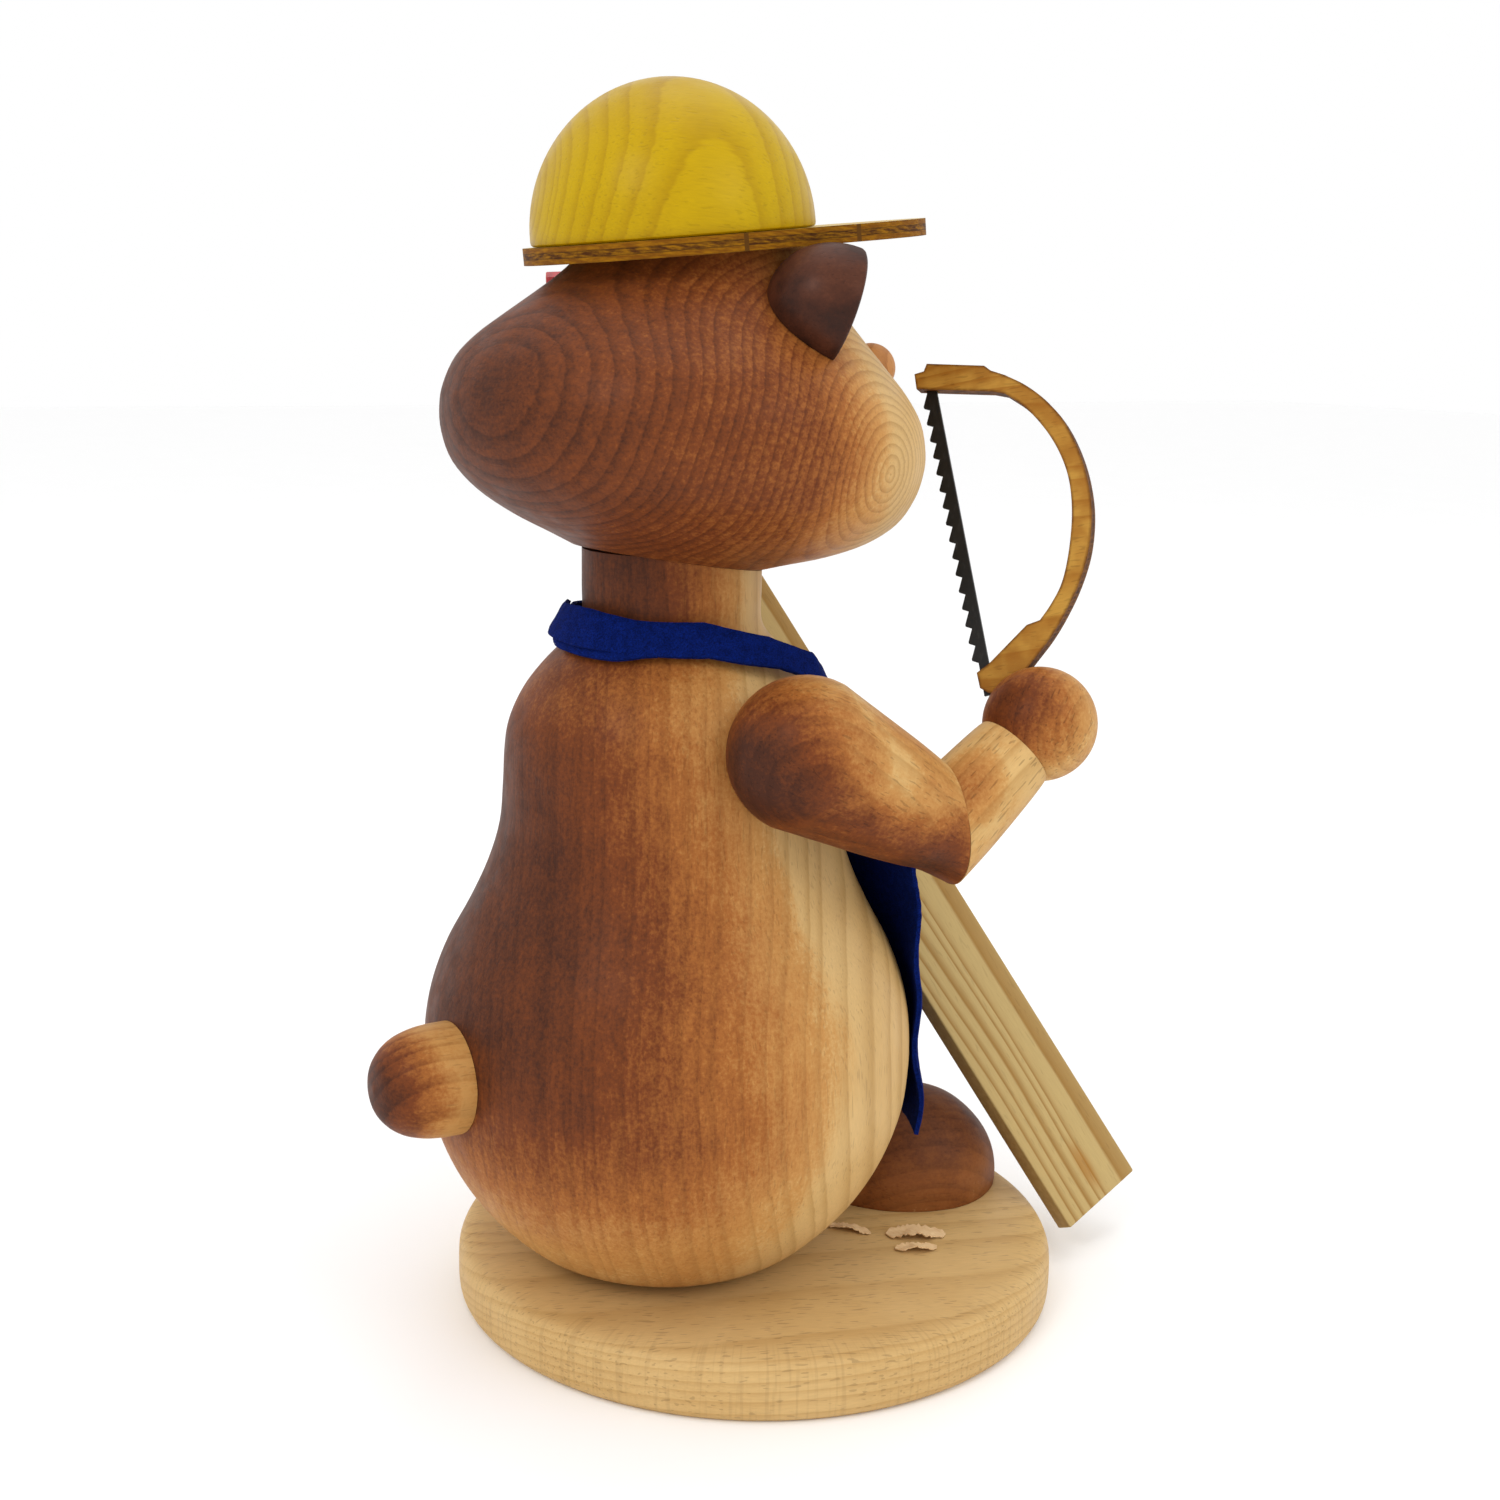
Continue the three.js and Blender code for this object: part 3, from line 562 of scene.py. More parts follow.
def felt():
    """Royal blue craft felt: matted fibres, a little paler where they stand up."""
    s = Shader("blue_felt")
    fuzz = s.noise(s.p, 0.28, 3, 0.7)
    lumps = s.noise(s.p, 1.5, 3, 0.6)
    hairs = s.add("TexNoise", noise_dimensions="3D")
    s.put(hairs.inputs["Vector"], s.vector("MULTIPLY", s.p, (1.0, 0.5, 2.2)))
    hairs.inputs["Scale"].default_value = 1.6
    hairs.inputs["Distortion"].default_value = 2.5
    colour = s.mix(s.span(fuzz, 0.3, 0.7), rgb(4, 14, 58), rgb(9, 32, 108))
    colour = s.shade(colour, s.span(lumps, 0.3, 0.7), 0.78, 1.16)
    colour = s.mix(s.span(hairs.outputs["Fac"], 0.62, 0.72, 0.0, 0.3), colour, rgb(26, 56, 146))
    normal = s.bump(fuzz, 0.22, 0.8)
    s.bump(lumps, 0.25, 0.5, normal)
    surface = s.surface.inputs
    surface["Sheen Tint"].default_value = rgb(40, 60, 170)
    return s.done(colour, 0.95, Sheen_Weight=0.06, Sheen_Roughness=0.5, Specular_IOR_Level=0.05)


def blade_metal():
    """Thin black strip: blackened, with paler scuffs."""
    s = Shader("blade_black")
    scuff = s.noise(s.vector("MULTIPLY", s.p, (1, 1, 0.3)), 1.1, 4, 0.7)
    colour = s.mix(s.span(scuff, 0.5, 0.75), rgb(14, 14, 13), rgb(40, 40, 38))
    s.bump(scuff, 0.04, 0.5)
    return s.done(colour, s.span(scuff, 0.3, 0.7, 0.42, 0.6), Metallic=0.35)


def brass():
    """Pressed brass sheet, tarnished and soot-spotted."""
    s = Shader("brass_dish")
    tarnish = s.noise(s.p, 4, 4, 0.65)
    colour = s.mix(s.span(tarnish, 0.4, 0.7), rgb(196, 158, 84), rgb(122, 86, 40))
    soot = s.away((0, 20.3, 20), 2, 9)
    soot = s.math("MULTIPLY", soot, s.span(tarnish, 0.3, 0.6, 0.2, 0.8))
    colour = s.mix(soot, colour, rgb(50, 38, 28))
    s.bump(s.noise(s.p, 0.6, 2), 0.03, 0.4)
    return s.done(colour, s.span(tarnish, 0.3, 0.7, 0.28, 0.5), Metallic=1.0)


def pencil_paint(place):
    """Red lacquer, bare wood at the cone and the flat tail end, and the lead."""
    s = Shader("pencil_paint")
    d = s.vector("SUBTRACT", s.p, tuple(place.translation))
    turn = place.to_3x3()
    x, z = (s.vector("DOT_PRODUCT", d, tuple(turn.col[i])) for i in (0, 2))
    mark = s.noise(s.p, 1.6, 3)
    colour = s.mix(s.span(mark, 0.35, 0.7), rgb(186, 44, 50), rgb(158, 30, 38))
    stripe = s.math("LESS_THAN", s.math("ABSOLUTE", s.math("SUBTRACT", x, 0.55)), 0.32)
    colour = s.mix(stripe, colour, rgb(40, 22, 24))
    ragged = s.stray(z, 1.6, s.p, 1.2, 1)
    bare = s.math("MAXIMUM", s.span(ragged, 43.2, 43.5), s.span(z, 0.02, 0.06, 1.0, 0.0))
    colour = s.mix(bare, colour, s.mix(mark, rgb(214, 170, 112), rgb(186, 136, 80)))
    core = s.vector("LENGTH", s.vector("MULTIPLY", s.vector("SUBTRACT", d, s.vector(
        "SCALE", tuple(turn.col[2]), scale=z)), (1, 1, 1)))
    lead = s.math("MULTIPLY", s.math("LESS_THAN", core, 0.95), bare)
    colour = s.mix(s.math("MAXIMUM", lead, s.span(z, 50.4, 50.6)), colour, rgb(38, 38, 42))
    s.bump(mark, 0.03, 0.4)
    return s.done(colour, 0.36, Coat_Weight=0.3)


# ------------------------------------------------------------------ base
def end_ticks(s, colour):
    """Fine hair lines standing across the rings on the base's turned edge."""
    flat = s.vector("MULTIPLY", s.p, (1, 1, 0))
    out = s.vector("LENGTH", flat)
    comb = s.noise(s.vector("ADD", s.vector("SCALE", s.vector("NORMALIZE", flat), scale=60.0),
                            s.vector("MULTIPLY", s.p, (0, 0, 0.06))), 0.8, 2)
    edge = s.span(out, 51, 56)
    return s.shade(colour, s.math("MULTIPLY", edge, s.span(comb, 0.5, 0.68)), 1.0, 0.9)


def build_base():
    rim = spline([(58.3, 0), (59.4, 1.0), (59.8, 2.8), (59.8, 7.4), (59.5, 9.2), (58.6, 10.7),
                  (57.0, 11.5), (54.8, 11.9)], 5) + [(52.4, 12.0)]
    disc = make("base_turned", lathe(rim, 192))
    timber = wood("beech_base", (-0.36, -0.93, 0.012), (-66, 20, -210), ring=1.9,
                  natural=((204, 170, 115), (190, 152, 95)), rings=0.05, pores=0.22,
                  wander=0.7, coat=0.04, more=end_ticks)
    dress(disc, "base_disc", "stand", "beech_natural", timber)

    boss = make("boss_turned", lathe([(16.0, 12.05), (16.8, 12.6), (16.8, 18.2), (16.4, 19.0),
                                      (15.8, 19.25)], 96), Matrix.Translation((0, 20.3, 0)))
    cut(boss, lathe([(1.0, 15), (1.0, 24)], 24), Matrix.Translation((0, 20.3, 0)))
    scorched = wood("beech_boss", (0, 0, 1), (40, 60, 0), natural=((196, 156, 102), (150, 104, 62)),
                    stain=stain_ends([((0, 20.3, 19), 4, 19, 0.9)], 0.1))
    dress(boss, "burner_boss", "stand", "beech_natural", scorched)

    bowl = [(0.95, 0.15), (10.2, 0.1), (11.4, 0.45), (12.1, 1.3), (12.4, 2.3), (12.25, 2.55),
            (12.0, 2.45), (11.75, 1.55), (11.1, 0.95), (10.0, 0.7), (0.95, 0.7), (0.95, 0.15)]
    verts, faces = lathe(bowl[:-1], 96)
    faces = faces[:-2]
    rows = len(bowl) - 1
    faces += [((rows - 1) * 96 + k, (rows - 1) * 96 + (k + 1) % 96, (k + 1) % 96, k) for k in range(96)]
    dish = make("dish_pressed", (verts, faces), Matrix.Translation((0, 20.3, 19.6)))
    metal = brass()
    dress(dish, "burner_plate", "stand", "brass_dish", metal)
    nail = [(0, -3.4), (0.35, -3.0), (0.8, -1.6), (0.8, 1.15), (1.9, 1.2), (2.05, 1.5), (1.7, 1.9),
            (0.9, 2.1), (0, 2.15)]
    tack = make("nail_turned", lathe(nail, 40), Matrix.Translation((0, 20.3, 19.8)))
    dress(tack, "plate_nail", "stand", "brass_dish", metal)


def build_foot(node, x, y, turned, heel_cut):
    k = 17.8 / 19
    egg = spline([(0, -23.4), (4.4, -22.7), (8.8, -20.6), (13.0, -16.8), (16.6, -11.4), (18.5, -5.6),
                  (19, 0), (18.4, 5), (16.0, 10.2), (11.6, 15), (6.4, 18.2), (0, 19.5)], 6)
    place = Matrix.Translation((x, y, 14.3)) @ spin(turned, "Z") @ spin(90, "Y")
    foot = make(node + "_turned", lathe([(max(r, 0) * k, z * k) for r, z in egg], 112), place)
    cut(foot, block(120, 120, 40), Matrix.Translation((0, 0, 12.06 - 20)))
    if heel_cut:
        cut(foot, lathe(grown(spline(BODY_PROFILE), 0.35), 96), SEAT)
    bevel(foot, 0.5, 2, 50)
    brown = ((0.0, (142, 90, 48)), (0.35, (126, 74, 36)), (0.7, (98, 55, 30)), (1.0, (62, 34, 22)))

    def sprayed(s):
        high = s.span(s.slope((0, 0, 1), 12, 30), 0, 1, 0.3, 0.6)
        wander = s.span(s.noise(s.p, 8, 3), 0.3, 0.7, -0.12, 0.14)
        toe = s.math("MULTIPLY", s.away((x + 4, y - 20, 14), 4, 15), 0.8)
        return s.math("MAXIMUM", s.math("ADD", high, wander), toe)

    timber = wood("beech_" + node, (math.cos(math.radians(turned)), math.sin(math.radians(turned)), 0),
                  (x + 30, y + 24, 50), stops=brown, stain=sprayed, pores=0.14, stained_rings=0.1,
                  rough=0.55)
    dress(foot, node, "stand", "beech_dark", timber)


def build_shavings():
    """Curled slivers with torn edges, lying on the base."""
    s = Shader("shaving_wood")
    fibres = s.noise(s.vector("MULTIPLY", s.p, (0.3, 1.2, 1)), 0.5, 3)
    colour = s.mix(fibres, rgb(238, 208, 162), rgb(216, 176, 124))
    s.bump(fibres, 0.06, 0.6)
    paper = s.done(colour, 0.62)
    # node, x, y, turned, length, width, lift, curl
    rows = [("shaving_1", -23.0, -24.0, 62, 12.0, 5.4, 1.5, 0.5),
            ("shaving_2", -15.0, -13.6, 40, 9.0, 2.4, 1.0, 1.6),
            ("shaving_3", -28.6, -20.4, 70, 8.5, 3.2, 1.3, -1.2)]
    for seed, (node, x, y, turned, length, width, lift, curl) in enumerate(rows):
        dice = random.Random(40 + seed)
        nx, ny = 26, 8
        torn = [[0.75 + 0.5 * dice.random() for _ in range(nx + 1)] for _ in range(2)]
        sheet = []
        for i in range(nx + 1):
            t = i / nx - 0.5
            wide = width * (1 - abs(2 * t) ** 2.6) ** 0.5 if abs(t) < 0.5 else 0.0
            for j in range(ny + 1):
                v = j / ny - 0.5
                edge = torn[0 if v < 0 else 1][i]
                across = v * (0.25 + wide * edge)
                roll = across * curl * 0.35 * (t + 0.3)
                up = lift * math.cos(t * math.pi) ** 2 * (0.5 + 0.5 * v) + 0.5 * abs(roll)
                up += 0.25 * noise.noise(Vector((i * 0.3, j * 0.5, seed * 9)))
                sheet.append((t * length, across + 1.4 * curl * t * t, max(0.0, up) + 0.25))
        thick = 0.22
        verts = [(a, b, c + rise) for rise in (-thick / 2, thick / 2) for a, b, c in sheet]
        verts = [(a, b, max(c, 0.06 + 0.22 * (n >= len(sheet)))) for n, (a, b, c) in enumerate(verts)]
        place = Matrix.Translation((x, y, BASE_T)) @ spin(turned, "Z")
        obj = make(node + "_curl", (verts, slab_faces(nx, ny)), place)
        dress(obj, node, "stand", "beech_natural", paper, angle=60)


def slab_faces(nx, ny, closed=False):
    """Faces of a sheet of (nx+1) x (ny+1) points given twice: its underside, then its top."""
    row, half = ny + 1, (nx + (0 if closed else 1)) * (ny + 1)
    faces = []
    for i in range(nx):
        n = (i + 1) % nx if closed else i + 1
        for j in range(ny):
            a, b, c, d = i * row + j, n * row + j, n * row + j + 1, i * row + j + 1
            faces += [(a, d, c, b), (a + half, b + half, c + half, d + half)]
        for j, flip in ((0, False), (ny, True)):
            a, b = i * row + j, n * row + j
            quad = (a, b, b + half, a + half)
            faces.append(quad[::-1] if flip else quad)
    if not closed:
        for i, flip in ((0, True), (nx, False)):
            for j in range(ny):
                a, b = i * row + j, i * row + j + 1
                quad = (a, b, b + half, a + half)
                faces.append(quad[::-1] if flip else quad)
    return faces


# ------------------------------------------------------------------ body and head
def build_body():
    outer = spline(BODY_PROFILE, 4) + [(16.7, 137.0)]
    body = make("body_turned", lathe(outer, 176), SEAT)
    bore = [(17.6, -5), (17.6, 72), (14.6, 79), (4, 86), (4, 145)]
    cut(body, lathe(bore, 72), SEAT)
    cut(body, lathe(grown(spline(HEAD_PROFILE), 0.08), 112), HEAD)
    timber = wood("beech_body", (0.02, 0.03, 1), (62, 172, 0), ring=3.5, stain=stain_body, rings=0.09,
                  wander=1.0, pores=0.14, stained_rings=0.1)
    dress(body, "body", "figure", "beech_stained", timber)

    bullet = spline([(10.4, 0), (10.3, 2.6), (9.9, 5.4), (8.9, 8.5), (7.1, 11.1), (4.4, 13.0),
                     (0, 13.8)], 6)
    rows = [(10.4, -8)] + [(max(r, 0), z) for r, z in bullet]
    place = SEAT @ aimed((-2.9, 47.5, 42.3), (-0.061, 1, 0.03))
    tail = make("tail_turned", lathe(rows, 96), place)
    cut(tail, lathe(grown(spline(BODY_PROFILE), GAP), 160), SEAT)
    tip = tuple(SEAT @ Vector((-3.8, 61, 42)))
    timber = wood("beech_tail", (0, 1, 0.04), (26, 60, 82), ring=2.6, rings=0.1,
                  natural=((174, 122, 64), (150, 98, 44)),
                  stain=stain_ends([(tip, 5, 17.5, 0.95)], 0.12), pores=0.16)
    dress(tail, "tail", "figure", "beech_stained", timber)


def build_head():
    head = make("head_turned", lathe(spline(HEAD_PROFILE, 4), 176), HEAD)
    cut(head, lathe([(4, -30), (4, 0)], 48), HEAD @ Matrix.Translation((0, 2, 0)))
    cut(head, lathe([(3.2, 0), (3.2, 60)], 48), HEAD @ aimed((0, 1, -3), (0, -1, 0)))
    cut(head, block(160, 160, 60), HAT @ Matrix.Translation((0, 0, 30 - PLY_T / 2 - GAP)))
    cut(head, lathe(ball(NOSE_R + GAP), 64), HEAD @ Matrix.Translation(NOSE_AT))
    place, section = pencil_frame(), pencil_section(GAP)
    cut(head, prism(section, -GAP, PENCIL_LENGTH + GAP), place)
    timber = wood("beech_head", (-0.966, -0.259, 0.03), (-39.7, -1.1, 165), ring=1.75,
                  stain=stain_head, rings=0.16, wander=0.6, even=0.2, pores=0.12,
                  stained_rings=0.25, more=paint_face)
    dress(head, "head", "figure", "beech_natural", timber)

    nose = make("nose_turned", lathe(ball(NOSE_R), 64), HEAD @ Matrix.Translation(NOSE_AT))
    timber = wood("beech_nose", (0, 0.3, 1), (12, -10, 190), ring=2.0,
                  natural=((196, 140, 86), (176, 116, 66)), pores=0.14)
    dress(nose, "nose", "figure", "beech_natural", timber)


def ball(r, steps=32):
    rows = []
    for i in range(steps + 1):
        a = math.pi * i / steps
        rows.append((r * math.sin(a) if 0 < i < steps else 0.0, -r * math.cos(a)))
    return rows


def build_ear(node, side):
    rows = []
    for i in range(17):
        t = i / 16 * math.pi / 2
        rows.append((10.9 * math.sin(t), -12.6 * math.cos(t)))
    rows += [(10.9, 0.25), (10.75, 0.65), (10.35, 0.95), (9.8, 1.0)]
    place = aimed((side * 30.4, 4.6, 192.7), (side * 0.301, -0.899, -0.314))
    ear = make(node + "_turned", lathe(rows, 112), place)
    cut(ear, lathe(grown(spline(HEAD_PROFILE), GAP), 128), HEAD)
    cut(ear, prism(brim_outline(0.15), -PLY_T / 2 - 0.15, PLY_T / 2 + 0.15), HAT)
    if side > 0:
        cut(ear, prism(pencil_section(GAP), -GAP, PENCIL_LENGTH + GAP), pencil_frame())
    chocolate = ((0.0, (98, 56, 36)), (0.4, (76, 40, 25)), (0.8, (60, 31, 20)), (1.0, (48, 26, 18)))
    timber = wood("beech_" + node, (0, 1, 0), (side * 40, 0, 240), stops=chocolate, pores=0.16,
                  stain=stain_all(0.35, 0.95, 7), rings=0.03, stained_rings=0.06, coat=0.1)
    dress(ear, node, "figure", "beech_dark", timber)


# ------------------------------------------------------------------ helmet and pencil
def prism(outline, low, high):
    """A flat outline given thickness along Z."""
    count = len(outline)
    verts = [(x, y, low) for x, y in outline] + [(x, y, high) for x, y in outline]
    faces = [tuple(reversed(range(count))), tuple(range(count, 2 * count))]
    faces += [(k, (k + 1) % count, (k + 1) % count + count, k + count) for k in range(count)]
    return verts, faces


def brim_outline(by=0.0, steps=48):
    r = 26.8 + by
    turns = [math.pi * k / steps for k in range(steps + 1)]
    arc = [(r * math.cos(a), r * math.sin(a)) for a in turns]
    arc += [(-x, -y - 22.5) for x, y in arc]
    return arc


def scorched(obj, width, normal):
    """Insets a plate's two faces by a narrow band and marks its outer edge for burning."""
    work = bmesh.new()
    work.from_mesh(obj.data)
    mark = work.verts.layers.float.new("scorch")
    up = Vector(normal)
    flats = [f for f in work.faces if abs(f.normal.dot(up)) > 0.95 and len(f.verts) > 8]
    rims = {v for f in flats for v in f.verts}
    for v in work.verts:
        v[mark] = 1.0 if v in rims else 0.0
    bmesh.ops.inset_individual(work, faces=flats, thickness=width * MM, use_even_offset=True)
    for v in work.verts:
        if v not in rims:
            v[mark] = 0.0
    for f in flats:
        for v in f.verts:
            v[mark] = 0.0
    for f in work.faces:
        f.material_index = 0 if abs(f.normal.dot(up)) > 0.6 else 1
    work.to_mesh(obj.data)
    work.free()


def build_helmet():
    brim = make("brim_cut", prism(brim_outline(), -PLY_T / 2, PLY_T / 2), HAT)
    scorched(brim, 1.0, HAT.to_3x3().col[2])
    edge = cut_edge("brim_edge", HAT, (112, 66, 2), (70, 36, 4), (150, 100, 3), BRIM_MARKS)
    brim.data.materials.append(brim_top())
    brim.data.materials.append(edge)
    dress(brim, "helmet_brim", "figure", "yellow_stain")

    rows = [(25.1, 0.0), (25.5, 0.3)]
    for i in range(29):
        t = i / 28 * math.pi / 2
        rows.append((25.6 * math.cos(t) if i < 28 else 0.0, 0.8 + 26.5 * math.sin(t)))
    dome = make("dome_turned", lathe(rows, 160), HAT @ Matrix.Translation((0, -0.3, PLY_T / 2 + 0.1)))
    dress(dome, "helmet_dome", "figure", "yellow_stain",
          yellow_wood("beech_dome", (0.2, 0.97, 0.08), (8, 44, 210)))


def pencil_frame():
    at, to = Vector((38.1, 28.3, 197.4)), Vector((12.7, -18.1, 200.0))
    z = (to - at).normalized()
    x = Vector((0, 1, 0)).cross(z).normalized()
    y = z.cross(x)
    return frame_of(at, x, y, z) @ spin(90, "Z")


def pencil_section(by):
    w, t, c = 2.3 + by, 1.65 + by, 1.1
    return [(-w, -t + c), (-w + c, -t), (w - c, -t), (w, -t + c),
            (w, t - c), (w - c, t), (-w + c, t), (-w, t - c)]


def build_pencil():
    """A flat carpenter's pencil: bevelled body, cut cone and a chisel lead."""
    place, section = pencil_frame(), pencil_section(0)
    verts = []
    rows = [(0.0, 0.93), (0.25, 1.0), (43.0, 1.0), (43.8, 0.96), (50.2, 0.3), (52.7, 0.16), (52.9, 0.08)]
    for z, k in rows:
        squeeze = min(1.0, k + 0.25) if z > 44 else k
        verts += [(x * squeeze, y * k, z) for x, y in section]
    faces = [tuple(reversed(range(8))), tuple(range(len(verts) - 8, len(verts)))]
    for i in range(len(rows) - 1):
        for k in range(8):
            here, after = i * 8 + k, i * 8 + (k + 1) % 8
            faces.append((here, after, after + 8, here + 8))
    pencil = make("pencil_cut", (verts, faces), place)
    dress(pencil, "pencil", "figure", "red_paint", pencil_paint(place), angle=20)


# ------------------------------------------------------------------ arms
def build_arm(side, joints, fibre_pith, stains):
    shoulder, elbow, hand = joints
    into, out = elbow - shoulder, hand - elbow
    turns = [i / 12 * math.pi / 2 for i in range(12)]
    rows = [(14.0 * math.sin(a), -14.0 * math.cos(a)) for a in turns]
    rows += spline([(14.0, 0), (13.3, 5), (12.5, 11), (11.4, 19), (10.2, 26), (9.1, into.length),
                    (9.1, into.length + 14)], 5)
    rows[0] = (0.0, -14.0)
    upper = make(f"upper_arm_{side}_turned", lathe(rows, 96), aimed(shoulder, into))
    w = out.length
    rows = spline([(9.1, -14), (9.1, 0), (8.7, w * 0.35), (8.1, w * 0.65), (7.5, w - 6.2)], 5)
    rows += [(7.25, w - 5.7), (6.6, w - 5.3)]
    fore = make(f"forearm_{side}_turned", lathe(rows, 96), aimed(elbow, out))
    mitre = aimed(elbow, into.normalized() + out.normalized())
    cut(upper, block(90, 90, 60), mitre @ Matrix.Translation((0, 0, 30 - GAP / 2)))
    cut(fore, block(90, 90, 60), mitre @ Matrix.Translation((0, 0, GAP / 2 - 30)))
    cut(upper, lathe(grown(spline(BODY_PROFILE), GAP), 160), SEAT)
    cut(fore, lathe(ball(HAND_R + GAP), 96), Matrix.Translation(hand))
    palm = make(f"hand_{side}_turned", lathe(ball(HAND_R, 40), 96), aimed(hand, out))
    upper_stain, fore_stain, hand_stain = stains
    pale = ((206, 170, 112), (184, 142, 84))
    timber = wood(f"beech_upper_arm_{side}", into, fibre_pith, ring=3.4, natural=pale, pores=0.26,
                  stain=upper_stain, rings=0.1, stained_rings=0.12)
    dress(upper, f"upper_arm_{side}", "figure", "beech_stained", timber)
    timber = wood(f"beech_forearm_{side}", out, fibre_pith, ring=3.2, natural=pale, pores=0.3,
                  stain=fore_stain, rings=0.1, stained_rings=0.12)
    dress(fore, f"forearm_{side}", "figure", "beech_natural", timber)
    timber = wood(f"beech_hand_{side}", out + Vector((9, 4, 0)), fibre_pith, ring=3.0, natural=pale,
                  stain=hand_stain, pores=0.3, rings=0.1, stained_rings=0.15)
    if side == "right":
        slot = SAW @ Matrix.Translation((-12.3, 16.0, 0)) @ spin(45, "Z")
        cut(palm, block(26, 26, PLY_T + 2 * GAP), slot)
    else:
        cut(palm, plank_block(GAP), PLANK)
    dress(palm, f"hand_{side}", "figure", "beech_stained", timber)


# ------------------------------------------------------------------ saw and plank
SAW = frame_of((-41.0, -36.1, 119.7), (-0.8065, -0.5913, 0.0), (0.167, -0.2277, 0.9593),
               (-0.5672, 0.7736, 0.2824))
BLADE_TOP, BLADE_END = Vector((-30.0, 63.8)), Vector((-10.0, 3.6))


def saw_outline():
    bow = spline([(-15.4, 63.8), (-11.0, 61.9), (-6.5, 58.9), (-2.7, 55.0), (0.4, 50.2), (2.8, 44.8),
                  (4.4, 38.5), (4.7, 31.5), (3.6, 25.1), (1.7, 19.4), (-0.5, 14.6), (-3.0, 10.5)], 6)
    inside = spline([(-2.8, 17.9), (-1.1, 21.0), (0.4, 25.0), (1.0, 30.5), (0.8, 37.5), (-0.4, 43.7),
                     (-2.6, 48.7), (-6.0, 53.4), (-10.5, 57.6), (-14.9, 60.2)], 6)
    return ([(-32.6, 60.6), (-33.4, 63.5), (-31.6, 64.1), (-31.2, 65.6), (-19.7, 65.5), (-18.3, 64.6)]
            + bow + [(-7.6, 2.9), (-11.0, 3.6), (-12.6, 4.3), (-13.6, 7.1), (-11.4, 9.1), (-5.2, 16.8)]
            + inside + [(-17.6, 60.6)])


def build_saw():
    bow = make("saw_bow", prism(saw_outline(), -PLY_T / 2, PLY_T / 2), SAW)
    tilt = math.atan2(BLADE_END.x - BLADE_TOP.x, BLADE_TOP.y - BLADE_END.y)
    for x, y, length in ((-30.1, 61.0, 6.4), (-12.6, 7.9, 14)):
        slot = SAW @ Matrix.Translation((x, y, 0)) @ Matrix.Rotation(tilt, 4, "Z")
        cut(bow, block(2.9, length, 0.95), slot)
    scorched(bow, 0.55, SAW.to_3x3().col[2])
    bow.data.materials.append(saw_face(SAW))
    bow.data.materials.append(cut_edge("saw_edge", SAW, (92, 54, 22), (58, 34, 16), (122, 76, 30)))
    dress(bow, "saw_frame", "figure", "plywood")

    along = (BLADE_END - BLADE_TOP).normalized()
    across = Vector((-along.y, along.x))
    length = (BLADE_END - BLADE_TOP).length

    def at(s, w):
        return tuple(BLADE_TOP + along * s + across * w)

    teeth, first, last = 16, 3.3, 57.0
    pitch = (last - first) / teeth
    points = [at(0, 0), at(length, 0), at(length, -2.0)]
    for i in range(teeth, 0, -1):
        points += [at(first + i * pitch, -1.9), at(first + (i - 0.2) * pitch, -3.05),
                   at(first + (i - 0.3) * pitch, -3.05)]
    points += [at(first, -1.9), at(0, -2.0)]
    blade = make("saw_strip", prism(points, -0.35, 0.35), SAW)
    dress(blade, "saw_blade", "figure", "black_blade", blade_metal())


PLANK_ALONG = Vector((0.405, 0.394, 0.824)).normalized()
PLANK_NORMAL = Vector((-0.9, 0.018, 0.434)).normalized()
PLANK = frame_of((-24.9, -70.6, 10.5), PLANK_ALONG.cross(PLANK_NORMAL).normalized(), PLANK_ALONG,
                 PLANK_NORMAL)


def plank_block(by=0.0):
    wide, long, thick = PLANK_SIZE
    verts, faces = block(wide + 2 * by, long + 2 * by, thick + 2 * by)
    return [(x, y + long / 2, z - thick / 2) for x, y, z in verts], faces


def build_plank():
    plank = make("plank_planed", plank_block(), PLANK)
    bevel(plank, 0.45, 3, 40)
    dress(plank, "plank", "figure", "pine", pine(PLANK))


# ------------------------------------------------------------------ felt
def lerp_track(track, at):
    for low, high in zip(track, track[1:]):
        if at <= high[0]:
            t = max(0.0, (at - low[0]) / (high[0] - low[0]))
            return [a + (b - a) * t for a, b in zip(low[1:], high[1:])]
    return list(track[-1][1:])


BODY_REACH = sorted((z, r) for r, z in spline(BODY_PROFILE, 4))


def smoothstep(value, low, high):
    t = min(max((value - low) / (high - low), 0.0), 1.0)
    return t * t * (3 - 2 * t)


APRON_TOP, APRON_BOTTOM = 110.0, 24.3
APRON_REACH = [(24.3, 46.0), (27, 46.4), (33, 47.7), (39, 48.2), (46, 48.0), (54, 46.5), (62, 43.6),
               (72, 39.6), (84, 36.0), (96, 33.4), (104, 31.6), (110, 29.8)]


def apron_point(across_share, up):
    """The middle of the felt's thickness, in the figure's frame."""
    bib = smoothstep(up, 78, 100)
    x = across_share * (29.0 + (16.2 - 29.0) * bib)
    front = lerp_track(APRON_REACH, up)[0] + 0.9
    hang = 40.6 - 0.041 * up if across_share < 0 else front - 8.5
    side = hang * (1 - bib) + (front - 1.6) * bib
    wave = 0.6 * (1 - bib) * math.cos((up - 31) * 0.322)
    edge = across_share * across_share
    y = -front + (front - side - wave) * edge
    x += edge * across_share * 0.5 * math.sin(up * 0.21 + 1.3) * (1 - bib)
    room = lerp_track(BODY_REACH, up)[0] + 1.0
    away = math.hypot(x, y)
    if away < room:
        x, y = x * room / away, y * room / away
    return Vector((x, y, up))


